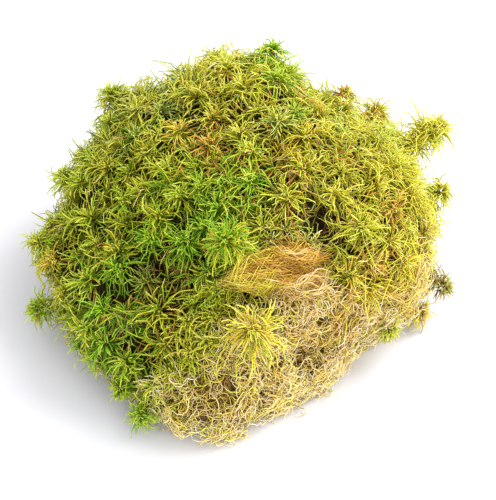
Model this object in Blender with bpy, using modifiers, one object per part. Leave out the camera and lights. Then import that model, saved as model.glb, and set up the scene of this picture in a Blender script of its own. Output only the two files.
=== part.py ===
"""A clump of living sphagnum moss, lifted from its bed and set down on its cut stems.

The clump is a low mound of moss plants grown tightly together. Their star-shaped heads make the
living cushion, which covers the top, the back and the left side. Under the heads the stems are
bleached and limp. They show at the front right, where the clump was torn from its bed, and they
are cut off flat underneath, where the clump stands. Some plants stand clear of the mass at its
edges, a combed tuft of dry tan moss lies over the torn edge, and a bit of dark twig is caught
in the stems.

Lengths below are in millimetres and turned into metres by MM. +Z is up, -Y is the front, and the
torn side faces -Y and +X. The origin is under the middle of the clump, on the table.
"""

import math
import random

import bmesh
import bpy
from mathutils import Matrix, Vector, noise
from mathutils.bvhtree import BVHTree

MM = 0.001
WELD = 1e-6

# The mass: how far it reaches from its upright axis in twelve compass directions, every 30 degrees
# anticlockwise from +X, on five rings from below the table to the crown.
DIRECTIONS = 12
BURIED_REACH = (50, 50, 48, 44, 46, 50, 50, 46, 56, 52, 42, 46)
FOOT_REACH = (66, 70, 68, 66, 70, 76, 80, 71, 84, 78, 50, 54)
BELLY_REACH = (79, 82, 84, 84, 91, 98, 93, 82, 72, 61, 55, 67)
SHOULDER_REACH = (74, 73, 76, 83, 92, 89, 72, 55, 47, 46, 52, 64)
CROWN_REACH = (42, 44, 48, 60, 66, 54, 33, 30, 29, 30, 34, 40)
BELLY_HEIGHT = (30, 34, 36, 36, 30, 26, 22, 22, 24, 26, 30, 30)
SHOULDER_HEIGHT = (60, 62, 68, 76, 66, 54, 42, 42, 48, 54, 60, 60)
CROWN_HEIGHT = (80, 82, 86, 90, 86, 76, 66, 64, 66, 70, 75, 78)
BURIED_HEIGHT = -16
FOOT_HEIGHT = 4
TOP = Vector((4, 24, 90))
BOTTOM = Vector((0, 0, -20))
AXIS = Vector((0, 4, 0))
WAVE_DEPTH = 3.0
WAVE_LENGTH = 28

# Mounds and hollows of the mass: middle, radius and how far the surface moves out there
SWELLS = (
    (Vector((-52, -20, 42)), 26, 3.5),
    (Vector((4, 52, 88)), 24, 4.0),
    (Vector((66, 4, 44)), 28, 2.0),
    (Vector((20, -14, 72)), 15, -8.0),
    (Vector((-34, -34, 52)), 11, -5.0),
    (Vector((-28, 70, 68)), 15, -5.0),
    (Vector((32, 54, 82)), 17, -6.0),
    (Vector((40, -44, 30)), 14, -4.0),
    (Vector((-20, -70, 6)), 15, 6.5),
)

# The bleached stems: a thin layer everywhere, and a bulge at the torn front right
STEM_LAYER = 9
TORN_PEAK = Vector((28, -54, 0))
TORN_RISE = 54
TORN_HALF_X = 44
TORN_HALF_Y = 32
SEAM_GAP = 0.8
SEAM_CELLS = 22

# The star heads that are fused to the cushion
HEAD_SPACING = 12.0
HEAD_RAYS = 6
HEAD_REACH = (8.0, 11.5)
HEAD_RISE = 5.5
HEAD_ROOT = 4.0
HEAD_NECK = 0.3
HEAD_CROWN = (0.26, 0.22)
VALLEY_SHARE = 0.36
HEART = Vector((2, 6, 26))
SPOT_COUNT = 5000

# The ropes of limp stems that are fused to the torn side
ROPE_COUNT = 110
ROPE_RADIUS = 1.6
ROPE_STEPS = 7
ROPE_STEP = 4.0

# How finely the two grown masses are skinned
SKIN_GRAIN = 1.5
CUSHION_KEPT = 0.038
STEMS_KEPT = 0.03

# How near a fused head may grow to a piece that lies on the surface
HEAD_BERTH = 13

# Plants that stand clear of the mass: middle of the head, then how far its rays reach
PLANTS = {
    "plant_front_foot": (Vector((-40, -62, 9)), 6),
    "plant_front_low": (Vector((-48, -51, 14)), 5),
    "plant_left_low": (Vector((-85, -10, 16)), 6),
    "plant_left_edge": (Vector((-84, 7, 36)), 7),
    "plant_left_side": (Vector((-74, 34, 50)), 8),
    "plant_back_left": (Vector((-57, 63, 70)), 8),
    "plant_back_crown": (Vector((10, 66, 89)), 7),
    "plant_back_red": (Vector((40, 66, 68)), 6.5),
    "plant_back_right": (Vector((54, 60, 63)), 8),
    "plant_upper_right": (Vector((78, 48, 64)), 9),
    "plant_right_edge": (Vector((77, 22, 52)), 6),
    "plant_right_low": (Vector((81, 4, 15)), 4.5),
    "plant_right_foot": (Vector((71, -4, 10)), 6.5),
    "plant_right_base": (Vector((56, -26, 20)), 5.5),
    "bright_star_plant": (Vector((-8, -34, 71)), 9),
    "drooping_plant": (Vector((2, -62, 55)), 9),
}
PLANT_RAYS = 5
PLANT_ROOT = 7.0
STEM_RADIUS = 2.2
STEM_TAPER = 0.8
PLANT_VALLEY = 0.38
PLANT_DOME = 0.35
PLANT_CROWN = (0.3, 0.2)

# The combed tuft of dry moss: the two ends of its line, and its widest section
TUFT_ENDS = (Vector((27, -35, 61)), Vector((-9, -42, 58)))
TUFT_LIFT = 2.0
TUFT_WIDTHS = (5.5, 8.5, 9.5, 8.5, 7.0, 5.0, 2.5)
TUFT_THICK = (1.8, 3.6, 4.6, 4.8, 4.2, 3.2, 1.4)
TUFT_FLUTES = 8
FLUTE_SHARE = 0.62

TWIG_ENDS = (Vector((-12, -56, 30)), Vector((-5, -55.5, 32)))
TWIG_RADIUS = 0.8
TWIG_SINK = 0.3

SOCKET_GAP = 0.5
SOCKET_DROP = 0.3
TABLE_HALF = 200
TABLE_DEEP = 60


def clear_scene():
    for thing in list(bpy.data.objects):
        bpy.data.objects.remove(thing)


def new_collection(name):
    made = bpy.data.collections.new(name)
    bpy.context.scene.collection.children.link(made)
    return made


def plain_material(name, colour, roughness):
    made = bpy.data.materials.new(name)
    made.use_nodes = True
    shader = made.node_tree.nodes["Principled BSDF"]
    shader.inputs["Base Color"].default_value = (*colour, 1)
    shader.inputs["Roughness"].default_value = roughness
    shader.inputs["Metallic"].default_value = 0
    return made


def put_in_order(bm):
    """Sorts the corners, edges and faces, so that each run gives the same mesh."""
    rank = {v: place for place, v in enumerate(sorted(bm.verts, key=lambda v: tuple(v.co)))}
    bm.verts.sort(key=rank.get)
    for group in (bm.edges, bm.faces):
        in_turn = sorted(group, key=lambda item: sorted(rank[v] for v in item.verts))
        rank_here = {item: place for place, item in enumerate(in_turn)}
        group.sort(key=rank_here.get)


def object_of(bm, name, collection, material=None):
    """A new object that holds this bmesh, which is in millimetres until here."""
    put_in_order(bm)
    bmesh.ops.transform(bm, matrix=Matrix.Scale(MM, 4), verts=bm.verts)
    mesh = bpy.data.meshes.new(name)
    bm.to_mesh(mesh)
    bm.free()
    made = bpy.data.objects.new(name, mesh)
    collection.objects.link(made)
    if material:
        mesh.materials.append(material)
    return made


def split_alike(bm):
    """Splits every face the same way in a piece and in what cuts its room, so they stay apart."""
    put_in_order(bm)
    bmesh.ops.triangulate(bm, faces=list(bm.faces), quad_method="FIXED")
    return bm


def hide(thing):
    thing.hide_render = True
    thing.display_type = "WIRE"
    return thing


def evaluated_mesh(thing):
    """The mesh of an object with its modifiers, as the viewport shows it."""
    bpy.context.view_layer.update()
    graph = bpy.context.evaluated_depsgraph_get()
    return bpy.data.meshes.new_from_object(thing.evaluated_get(graph))


# The mass

def cage_point(ring, direction):
    """Where a cage vertex belongs: ring 0 is the bottom pole and ring 6 the top one."""
    reaches = (BURIED_REACH, FOOT_REACH, BELLY_REACH, SHOULDER_REACH, CROWN_REACH)
    heights = (
        [BURIED_HEIGHT] * DIRECTIONS,
        [FOOT_HEIGHT] * DIRECTIONS,
        BELLY_HEIGHT,
        SHOULDER_HEIGHT,
        CROWN_HEIGHT,
    )
    if ring == 0:
        return BOTTOM
    if ring > len(reaches):
        return TOP
    angle = direction * math.tau / DIRECTIONS
    outward = Vector((math.cos(angle), math.sin(angle), 0))
    lift = Vector((0, 0, heights[ring - 1][direction]))
    return AXIS + outward * reaches[ring - 1][direction] + lift


def swell(place):
    """How far the surface moves outward here, in millimetres."""
    moved = noise.noise(place / WAVE_LENGTH) * WAVE_DEPTH
    for middle, radius, rise in SWELLS:
        moved += rise * math.exp(-(((place - middle).length / radius) ** 2))
    return moved


def mass_mesh(helpers):
    """The mound without its heads: a coarse cage, smoothed, then given mounds and hollows."""
    bm = bmesh.new()
    rings = 6
    bmesh.ops.create_uvsphere(bm, u_segments=DIRECTIONS, v_segments=rings, radius=1)
    for vertex in bm.verts:
        latitude = math.asin(max(-1, min(1, vertex.co.z))) + math.pi / 2
        ring = round(latitude / math.pi * rings)
        angle = math.atan2(vertex.co.y, vertex.co.x)
        vertex.co = cage_point(ring, round(angle / math.tau * DIRECTIONS) % DIRECTIONS)
    cage = hide(object_of(bm, "mass_cage", helpers))
    smooth = cage.modifiers.new("smooth", "SUBSURF")
    smooth.levels = smooth.render_levels = 3
    mesh = evaluated_mesh(cage)
    smoothed = bmesh.new()
    smoothed.from_mesh(mesh)
    bmesh.ops.triangulate(smoothed, faces=list(smoothed.faces), quad_method="SHORT_EDGE")
    put_in_order(smoothed)
    smoothed.to_mesh(mesh)
    smoothed.free()
    for vertex in mesh.vertices:
        vertex.co += vertex.normal * swell(vertex.co / MM) * MM
    return mesh


def stems_top(x, y):
    """Height of the seam between the bleached stems and the living cushion."""
    across = ((x - TORN_PEAK.x) / TORN_HALF_X) ** 2
    along = ((y - TORN_PEAK.y) / TORN_HALF_Y) ** 2
    return STEM_LAYER + TORN_RISE * math.exp(-across - along)


def stems_zone(name, helpers, lowered):
    """Everything under the seam, as a solid to cut with."""
    bm = bmesh.new()
    bmesh.ops.create_grid(bm, x_segments=SEAM_CELLS, y_segments=SEAM_CELLS, size=TABLE_HALF * 0.6)
    for vertex in bm.verts:
        vertex.co.z = stems_top(vertex.co.x, vertex.co.y) - lowered
    skirt = bmesh.ops.extrude_face_region(bm, geom=list(bm.faces))
    for vertex in (v for v in skirt["geom"] if isinstance(v, bmesh.types.BMVert)):
        vertex.co.z = -TABLE_DEEP
    bmesh.ops.recalc_face_normals(bm, faces=bm.faces)
    return hide(object_of(split_alike(bm), name, helpers))


def table_block(helpers):
    bm = bmesh.new()
    bmesh.ops.create_cube(bm, size=1)
    bmesh.ops.scale(bm, vec=(2 * TABLE_HALF, 2 * TABLE_HALF, TABLE_DEEP), verts=bm.verts)
    bmesh.ops.translate(bm, vec=(0, 0, -TABLE_DEEP / 2), verts=bm.verts)
    return hide(object_of(bm, "table_block", helpers))


def spread_directions(count):
    """Directions spread evenly over a ball, from the top down, by the golden angle."""
    golden = math.pi * (3 - math.sqrt(5))
    for i in range(count):
        z = 1 - 2 * (i + 0.5) / count
        level = math.sqrt(1 - z * z)
        yield Vector((level * math.cos(i * golden), level * math.sin(i * golden), z))


def surface_spots(skin, count):
    """Spots spread over the mass, in millimetres, with the outward direction at each."""
    for direction in spread_directions(count):
        place, normal, _, _ = skin.ray_cast(HEART * MM, direction)
        if place is not None and place.z > 0:
            yield place / MM, normal


def spaced_spots(skin, spacing, rng):
    """Surface spots in chance order, each at least this far from those before it."""
    spots = list(surface_spots(skin, SPOT_COUNT))
    rng.shuffle(spots)
    kept = []
    for place, outward in spots:
        if all((place - other).length_squared > spacing * spacing for other, _ in kept):
            kept.append((place, outward))
    return kept


def nearest(skin, place):
    """The closest spot on the mass and the outward direction there."""
    found, normal, _, _ = skin.find_nearest(place * MM)
    return found / MM, normal


# Solids drawn through rings

def ring_solid(bm, segments, rings):
    """A capped solid through rings of (frame, reach of even corners, reach of odd corners)."""
    made = bmesh.ops.create_cone(
        bm, cap_ends=True, segments=segments, radius1=1, radius2=1, depth=1
    )
    verts = list(made["verts"])
    top = [v for v in verts if v.co.z > 0]
    for level in range(2, len(rings)):
        cap = next(f for f in top[0].link_faces if len(f.verts) == segments)
        raised = bmesh.ops.extrude_face_region(bm, geom=[cap])
        bmesh.ops.delete(bm, geom=[cap], context="FACES_ONLY")
        top = [v for v in raised["geom"] if isinstance(v, bmesh.types.BMVert)]
        for vertex in top:
            vertex.co.z = level - 0.5
        verts += top
    for vertex in verts:
        frame, even, odd = rings[round(vertex.co.z + 0.5)]
        angle = math.atan2(vertex.co.y, vertex.co.x)
        corner = round(angle / math.tau * segments)
        out = odd if corner % 2 else even
        vertex.co = frame @ Vector((out * math.cos(angle), out * math.sin(angle), 0))


def frame_at(place, axis, spin=0.0):
    """A frame whose Z runs along this axis."""
    turn = axis.to_track_quat("Z", "Y").to_matrix().to_4x4()
    return Matrix.Translation(place) @ turn @ Matrix.Rotation(spin, 4, "Z")


def fused_head(bm, place, outward, reach, spin):
    """One star head, rooted a little under the surface so that it fuses with the mass."""
    stages = (
        (-HEAD_ROOT, reach * HEAD_NECK, reach * HEAD_NECK),
        (HEAD_RISE * 0.4, reach, reach * VALLEY_SHARE),
        (HEAD_RISE, reach * HEAD_CROWN[0], reach * HEAD_CROWN[1]),
    )
    rings = [(frame_at(place + outward * rise, outward, spin), even, odd) for rise, even, odd in stages]
    ring_solid(bm, 2 * HEAD_RAYS, rings)


def free_plant(bm, skin, head, reach, gap):
    """A plant that stands clear: a stem out of the mass with a star head, or its socket."""
    spot, outward = nearest(skin, head)
    root = spot - outward * PLANT_ROOT
    lean = (head - root).normalized()
    crown = (lean + Vector((0, 0, 0.5))).normalized()
    spin = head.x
    thin = STEM_RADIUS + gap
    neck = thin * STEM_TAPER
    top = head + crown * (reach * PLANT_DOME + gap)
    rings = (
        (frame_at(root - lean * gap, lean, spin), thin, thin),
        (frame_at(root.lerp(head, 0.7), lean, spin), neck, neck),
        (frame_at(head - crown * gap * SOCKET_DROP, crown, spin), reach + gap, reach * PLANT_VALLEY + gap),
        (frame_at(top, crown, spin), reach * PLANT_CROWN[0] + gap, reach * PLANT_CROWN[1] + gap),
    )
    ring_solid(bm, 2 * PLANT_RAYS, rings)


def dry_tuft(bm, skin, gap):
    """The combed tuft: a fluted, flattened spindle laid over the surface, or its bed."""
    count = len(TUFT_WIDTHS)
    spine = []
    for step in range(count):
        spot, outward = nearest(skin, TUFT_ENDS[0].lerp(TUFT_ENDS[1], step / (count - 1)))
        spine.append((spot + outward * TUFT_LIFT, outward))
    rings = []
    for step, (place, outward) in enumerate(spine):
        ahead = spine[min(step + 1, count - 1)][0] - spine[max(step - 1, 0)][0]
        ahead.normalize()
        across = outward.cross(ahead).normalized()
        up = ahead.cross(across)
        end = (-1 if step == 0 else 1 if step == count - 1 else 0) * gap
        frame = Matrix((
            across * (TUFT_WIDTHS[step] + gap),
            up * (TUFT_THICK[step] + gap),
            ahead,
        )).transposed().to_4x4()
        frame.translation = place + ahead * end
        rings.append((frame, 1, FLUTE_SHARE))
    ring_solid(bm, 2 * TUFT_FLUTES, rings)


def twig(bm, skin, gap):
    """The bit of twig caught in the stems, or its bed."""
    ends = []
    for end in TWIG_ENDS:
        spot, outward = nearest(skin, end)
        ends.append(spot + outward * (TWIG_RADIUS - TWIG_SINK))
    along = (ends[1] - ends[0]).normalized()
    thick = TWIG_RADIUS + gap
    rings = (
        (frame_at(ends[0] - along * gap, along), thick * 0.8, thick * 0.7),
        (frame_at(ends[0].lerp(ends[1], 0.4), along), thick, thick * 0.9),
        (frame_at(ends[1] + along * gap, along), thick * 0.7, thick * 0.8),
    )
    ring_solid(bm, 6, rings)


# The two grown masses

def skinned(thing, kept):
    """Fuses an object's overlapping shapes under one skin of few faces."""
    fuse = thing.modifiers.new("fuse", "REMESH")
    fuse.mode = "VOXEL"
    fuse.voxel_size = SKIN_GRAIN * MM
    thin = thing.modifiers.new("thin", "DECIMATE")
    thin.ratio = kept
    return thing


def cut(thing, operation, cutter, name, solver="EXACT"):
    step = thing.modifiers.new(name, "BOOLEAN")
    step.operation = operation
    step.solver = solver
    step.object = cutter


def laid_pieces():
    """Spots along the pieces that lie on the surface, which no fused head may poke through."""
    return [
        PLANTS["bright_star_plant"][0],
        PLANTS["drooping_plant"][0],
        *(TUFT_ENDS[0].lerp(TUFT_ENDS[1], step / 4) for step in range(5)),
    ]


def living_cushion(mass, skin, collection, material):
    rng = random.Random(11)
    taken = [nearest(skin, spot)[0] for spot in laid_pieces()]
    bm = bmesh.new()
    bm.from_mesh(mass)
    bmesh.ops.transform(bm, matrix=Matrix.Scale(1 / MM, 4), verts=bm.verts)
    for place, outward in spaced_spots(skin, HEAD_SPACING, rng):
        free = all((place - spot).length > HEAD_BERTH for spot in taken)
        if free and place.z > stems_top(place.x, place.y) + 1:
            fused_head(bm, place, outward, rng.uniform(*HEAD_REACH), rng.uniform(0, math.tau))
    return skinned(object_of(bm, "living_cushion", collection, material), CUSHION_KEPT)


def rope_points(skin, place, outward, rng):
    """A limp stem's line: it wanders over the surface, dipping in at both ends."""
    along = outward.cross(Vector((rng.uniform(-1, 1), rng.uniform(-1, 1), 1))).normalized()
    turn = rng.uniform(-0.35, 0.35)
    here = place.copy()
    points = []
    for step in range(ROPE_STEPS):
        share = step / (ROPE_STEPS - 1)
        arch = ROPE_RADIUS * (1.8 * math.sin(math.pi * share) - 1)
        near, normal = nearest(skin, here)
        points.append(near + normal * arch)
        along = Matrix.Rotation(turn, 3, normal) @ along
        along = (along - normal * along.dot(normal)).normalized()
        here = near + along * ROPE_STEP
    return points


def ropes_mesh(skin, helpers):
    """All the fused stems of the torn side, as one bevelled curve made a mesh."""
    rng = random.Random(5)
    curve = bpy.data.curves.new("stem_ropes", "CURVE")
    curve.dimensions = "3D"
    curve.bevel_depth = ROPE_RADIUS * MM
    curve.bevel_resolution = 1
    curve.use_fill_caps = True
    spots = [
        (place, outward)
        for place, outward in surface_spots(skin, ROPE_COUNT * 6)
        if place.z < stems_top(place.x, place.y) + 2 and outward.z > -0.6
    ]
    for place, outward in rng.sample(spots, min(ROPE_COUNT, len(spots))):
        points = rope_points(skin, place, outward, rng)
        spline = curve.splines.new("POLY")
        spline.points.add(len(points) - 1)
        for point, co in zip(spline.points, points):
            point.co = (*(co * MM), 1)
    ropes = bpy.data.objects.new("stem_ropes", curve)
    helpers.objects.link(ropes)
    mesh = evaluated_mesh(ropes)
    bpy.data.objects.remove(ropes)
    return mesh


def bleached_stems(mass, skin, helpers, collection, material):
    bm = bmesh.new()
    bm.from_mesh(mass)
    bm.from_mesh(ropes_mesh(skin, helpers))
    bmesh.ops.remove_doubles(bm, verts=bm.verts, dist=WELD)
    bmesh.ops.transform(bm, matrix=Matrix.Scale(1 / MM, 4), verts=bm.verts)
    return skinned(object_of(bm, "bleached_stems", collection, material), STEMS_KEPT)


def small_parts(skin, collection, helpers):
    """The pieces of their own, and one hidden cutter that holds the sockets of them all."""
    sockets = bmesh.new()
    green = plain_material("green plant", (0.32, 0.46, 0.08), 0.7)
    yellow = plain_material("yellow plant", (0.58, 0.55, 0.12), 0.7)
    for name, (head, reach) in PLANTS.items():
        bm = bmesh.new()
        free_plant(bm, skin, head, reach, 0)
        tone = yellow if head.x > 0 or name == "drooping_plant" else green
        object_of(split_alike(bm), name, collection, tone)
        free_plant(sockets, skin, head, reach, SOCKET_GAP)
    tuft = bmesh.new()
    dry_tuft(tuft, skin, 0)
    dry_tuft(sockets, skin, SOCKET_GAP)
    object_of(split_alike(tuft), "dry_tuft", collection, plain_material("dry tan moss", (0.7, 0.45, 0.16), 0.75))
    stick = bmesh.new()
    twig(stick, skin, 0)
    twig(sockets, skin, SOCKET_GAP)
    object_of(split_alike(stick), "twig", collection, plain_material("twig bark", (0.12, 0.08, 0.06), 0.8))
    return hide(object_of(split_alike(sockets), "sockets", helpers))


def centre_on_table(collection):
    """Parents the pieces to an empty and moves it so that the origin is under their middle."""
    bpy.context.view_layer.update()
    graph = bpy.context.evaluated_depsgraph_get()
    corners = [
        Vector(corner)
        for piece in collection.objects
        for corner in piece.evaluated_get(graph).bound_box
    ]
    low_x, high_x = min(c.x for c in corners), max(c.x for c in corners)
    low_y, high_y = min(c.y for c in corners), max(c.y for c in corners)
    pieces = list(bpy.data.objects)
    holder = bpy.data.objects.new("clump", None)
    for piece in pieces:
        piece.parent = holder
    bpy.context.scene.collection.objects.link(holder)
    holder.location = (-(low_x + high_x) / 2, -(low_y + high_y) / 2, 0)


def main():
    clear_scene()
    clump = new_collection("moss_clump")
    helpers = new_collection("cutters_and_guides")
    mass = mass_mesh(helpers)
    skin_source = bmesh.new()
    skin_source.from_mesh(mass)
    skin = BVHTree.FromBMesh(skin_source)
    skin_source.free()

    green = plain_material("living moss", (0.36, 0.44, 0.07), 0.7)
    straw = plain_material("bleached stems", (0.72, 0.6, 0.34), 0.8)
    cushion = living_cushion(mass, skin, clump, green)
    stems = bleached_stems(mass, skin, helpers, clump, straw)
    cut(cushion, "DIFFERENCE", stems_zone("zone_of_stems", helpers, 0), "above the seam")
    cut(stems, "INTERSECT", stems_zone("zone_lowered", helpers, SEAM_GAP), "below the seam")
    cut(stems, "DIFFERENCE", table_block(helpers), "flat underside")
    sockets = small_parts(skin, clump, helpers)
    for grown in (cushion, stems):
        cut(grown, "DIFFERENCE", sockets, "sockets", solver="MANIFOLD")
    centre_on_table(clump)


main()
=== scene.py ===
"""Moss clump: a low mound of living bog moss with star-shaped heads over bleached stems.

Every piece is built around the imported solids. The two masses become dark hearts, and thousands of
tapered branches and limp stems stand on them. Lengths in the tables below are in millimetres, in
the frame of the solids, and MM turns them into metres.
"""

import math
from functools import cache

import bmesh
import bpy
import numpy as np
from bpy.props import FloatProperty, FloatVectorProperty, IntProperty, PointerProperty
from mathutils import Matrix, Vector, noise
from mathutils.bvhtree import BVHTree


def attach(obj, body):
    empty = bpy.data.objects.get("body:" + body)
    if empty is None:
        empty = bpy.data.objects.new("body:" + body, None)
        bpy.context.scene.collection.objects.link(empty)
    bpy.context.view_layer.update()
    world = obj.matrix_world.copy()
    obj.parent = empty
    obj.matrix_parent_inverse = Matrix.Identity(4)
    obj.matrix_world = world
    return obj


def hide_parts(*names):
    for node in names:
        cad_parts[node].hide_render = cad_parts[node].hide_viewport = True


bl_info = {
    "name": "Moss clump",
    "version": (1, 0, 0),
    "blender": (4, 5, 0),
    "location": "3D View > Sidebar > Moss",
    "description": "Builds a clump of living bog moss over its packed solids",
    "category": "Add Mesh",
}

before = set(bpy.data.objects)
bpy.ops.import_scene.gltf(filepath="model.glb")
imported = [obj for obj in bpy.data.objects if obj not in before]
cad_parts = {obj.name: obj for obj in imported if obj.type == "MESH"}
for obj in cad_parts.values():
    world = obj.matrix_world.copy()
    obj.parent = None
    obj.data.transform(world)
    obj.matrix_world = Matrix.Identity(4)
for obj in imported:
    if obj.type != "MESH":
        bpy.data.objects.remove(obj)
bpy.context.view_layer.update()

MM = 0.001
BODY = "root"
CAMERA_SIDE = (0, -0.77, 0.64)
TARGET = (2.9, -9.1, 37.6)

# The middle of the clump, from which its surface is looked at, and how many places are looked at
HEART = Vector((5, -3, 26)) * MM
SPOT_COUNT = 9000
WELD = 1e-6

# Remeshing of the surface that all stands on and of the dark hearts: size of a cell, rounds of smoothing
SKIN_MESH = (2.6 * MM, 10)
HEART_MESH = (3.2 * MM, 8)

# The flat underside ends at this height, and the hearts stay above another
FLAT_HEIGHT = 1.5 * MM
HEART_FOOT = 0.4 * MM

# How much deeper a heart lies under a gap, and the size and height of its lumps
GAP_DEPTH = 4 * MM
LUMP_SCALE = 260
LUMP_HEIGHT = 1.2 * MM

# The seed of each operator's random numbers
SEEDS = {"moss": 11, "stems": 23, "tuft": 31, "plants": 41}

# Places that differ from the rest: middle, and reach along each axis
ANY = math.inf
TORN_SIDE = ((30.9, -62.7, 0), (44, 32, ANY))
CURLY_SIDE = ((54, -8, 0), (28, 34, ANY))
CURLY_LOW = ((66, -26, 26), (16, 20, 18))
SHORT_CORNER = ((-50, -56, 6), (14, 14, 14))
UPPER_STEMS = ((42, 0, 40), (22, ANY, 18))
FOOT_STEMS = ((-12, 0, 6), (22, ANY, 18))
PALE_STEMS = ((62, 0, 14), (18, ANY, 16))

# How high the torn side reaches, how thick its stems lie, and the share of it where moss gives way
TORN_RISE = 54.0
TORN_LEAST = 6.0
STEM_LAYER = 9.0
TORN_FADE = 10.0
LIVING_EDGE = 0.1
STEMS_EDGE = -0.25

# The left edge, where heads grow shorter, and how far up heads are short because of the table
LEFT_EDGE = -66
LEFT_FADE = 14
TABLE_ZONE = 16 * MM

# Tones in order round the moss: name, colour near the root, in the middle and at the tip; the darker roots
# are partly the branches' own colour, partly painted shade deep in the heads
TONES = (
    ("rust", (96, 38, 14), (172, 88, 36), (224, 158, 100)),
    ("orange", (138, 90, 16), (206, 152, 48), (238, 206, 112)),
    ("brown", (66, 48, 16), (130, 104, 40), (184, 158, 86)),
    ("dull", (72, 84, 22), (148, 162, 58), (208, 216, 120)),
    ("deep", (44, 70, 6), (94, 138, 18), (164, 196, 52)),
    ("fresh", (70, 116, 6), (126, 180, 20), (196, 224, 66)),
    ("grass", (76, 104, 8), (156, 184, 24), (216, 226, 84)),
    ("olive", (94, 88, 10), (176, 168, 26), (222, 212, 84)),
    ("lime", (98, 110, 6), (184, 192, 26), (234, 236, 114)),
    ("yellow", (136, 120, 10), (218, 202, 36), (248, 238, 116)),
    ("gold", (150, 110, 14), (222, 182, 46), (250, 224, 104)),
    ("straw", (130, 88, 34), (224, 182, 96), (252, 232, 160)),
    ("cream", (160, 118, 58), (242, 208, 134), (255, 242, 196)),
    ("tan", (90, 58, 24), (186, 140, 76), (236, 204, 146)),
)
TONE_NAMES = [tone[0] for tone in TONES]
TONE_ENDS = (0.01, 0.985)


def tone_u(name):
    """Where a tone lies across the palette."""
    return (TONE_NAMES.index(name) + 0.5) / len(TONES)


# Where the moss takes which tones: middle, radius, then each tone with its weight
PATCHES = (
    ((-6, -29, 62), 11, {"fresh": 6, "grass": 1}),
    ((-12, -20, 71), 9, {"fresh": 6, "grass": 1}),
    ((3, -17, 76), 10, {"fresh": 3, "grass": 3, "lime": 1}),
    ((-21, -31, 60), 12, {"fresh": 5, "deep": 2, "grass": 2}),
    ((9, -24, 74), 10, {"grass": 3, "lime": 4}),
    ((-34, -14, 64), 14, {"fresh": 3, "grass": 3, "lime": 2}),
    ((-9, 11, 84), 15, {"orange": 4, "lime": 3, "gold": 2, "olive": 2}),
    ((18, -11, 80), 12, {"orange": 4, "yellow": 3, "lime": 2}),
    ((53, -2, 80), 12, {"orange": 2, "yellow": 4, "lime": 2}),
    ((61, -35, 48), 14, {"gold": 3, "orange": 2, "yellow": 4}),
    ((56, -38, 40), 12, {"orange": 2, "straw": 4, "yellow": 3}),
    ((23, -28, 70), 12, {"rust": 2, "brown": 3, "dull": 3, "straw": 1}),
    ((13, -23, 78), 7, {"rust": 4, "brown": 2, "olive": 2}),
    ((-31, -35, 48), 12, {"deep": 4, "brown": 3, "olive": 2}),
    ((-39, -15, 60), 9, {"rust": 3, "olive": 3, "lime": 3}),
    ((-3, 36, 91), 20, {"lime": 5, "yellow": 4, "gold": 1}),
    ((14, 43, 93), 16, {"grass": 4, "lime": 3, "fresh": 2}),
    ((-36, 38, 78), 22, {"dull": 4, "lime": 3, "olive": 2}),
    ((-62, 21, 60), 20, {"lime": 4, "olive": 4, "grass": 2}),
    ((-72, -5, 39), 20, {"lime": 4, "grass": 3, "olive": 3}),
    ((-77, -21, 26), 16, {"grass": 4, "olive": 3, "orange": 1}),
    ((-54, -52, 29), 18, {"fresh": 3, "deep": 3, "grass": 3}),
    ((-48, -55, 14), 16, {"fresh": 3, "grass": 4, "deep": 2, "straw": 1}),
    ((-33, -68, 14), 14, {"grass": 3, "lime": 3, "straw": 2, "fresh": 1}),
    ((-25, -58, 35), 12, {"lime": 3, "olive": 3, "straw": 2, "grass": 1}),
    ((-36, -53, 35), 10, {"deep": 3, "brown": 3, "grass": 2}),
    ((-45, -29, 49), 16, {"grass": 3, "deep": 3, "fresh": 2, "olive": 2}),
    ((-54, -6, 60), 16, {"lime": 3, "grass": 3, "olive": 3}),
    ((-34, -6, 70), 14, {"grass": 4, "lime": 3, "olive": 2}),
    ((-23, 14, 80), 16, {"lime": 4, "olive": 3, "grass": 2, "orange": 1}),
    ((32, 14, 85), 20, {"lime": 6, "yellow": 2, "olive": 2, "orange": 1, "grass": 1}),
    ((24, 3, 87), 12, {"yellow": 4, "lime": 4, "orange": 2}),
    ((7, 4, 86), 10, {"lime": 5, "yellow": 2}),
    ((8, -6, 83), 9, {"lime": 5, "yellow": 2, "orange": 1}),
    ((57, 26, 76), 18, {"lime": 4, "olive": 3, "yellow": 2, "grass": 2}),
    ((63, 2, 71), 14, {"yellow": 3, "lime": 4, "olive": 2}),
    ((67, -7, 62), 14, {"yellow": 5, "lime": 3}),
    ((70, -21, 50), 16, {"yellow": 5, "lime": 3, "straw": 2}),
    ((72, -22, 24), 18, {"straw": 4, "yellow": 4, "cream": 2}),
    ((42, -17, 78), 14, {"lime": 5, "yellow": 2, "olive": 2, "orange": 1}),
    ((36, 34, 86), 10, {"fresh": 3, "grass": 3, "lime": 2}),
    ((38, -36, 64), 14, {"lime": 5, "yellow": 3, "straw": 1}),
    ((-14, -47, 50), 14, {"lime": 4, "grass": 3, "yellow": 2}),
    ((78, 30, 50), 24, {"yellow": 3, "lime": 3, "olive": 2}),
    ((60, 60, 50), 30, {"lime": 3, "olive": 3, "grass": 2, "yellow": 1}),
    ((0, 78, 50), 30, {"olive": 4, "lime": 3, "dull": 3}),
    ((-60, 60, 50), 30, {"dull": 3, "olive": 3, "grass": 3}),
    ((-85, 10, 20), 24, {"grass": 3, "olive": 3, "deep": 1}),
)

# Painted light and shade on the heads, where their tips are dimmer or paler than elsewhere: middle, radius,
# change
PAINTED_LIGHTS = (
    ((-34, -32, 50), 24, -0.3),
    ((-34, -6, 70), 15, -0.22),
    ((-24, -58, 33), 13, -0.25),
    ((-52, -50, 26), 16, -0.15),
    ((12, -2, 84), 16, 0.22),
)

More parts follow.
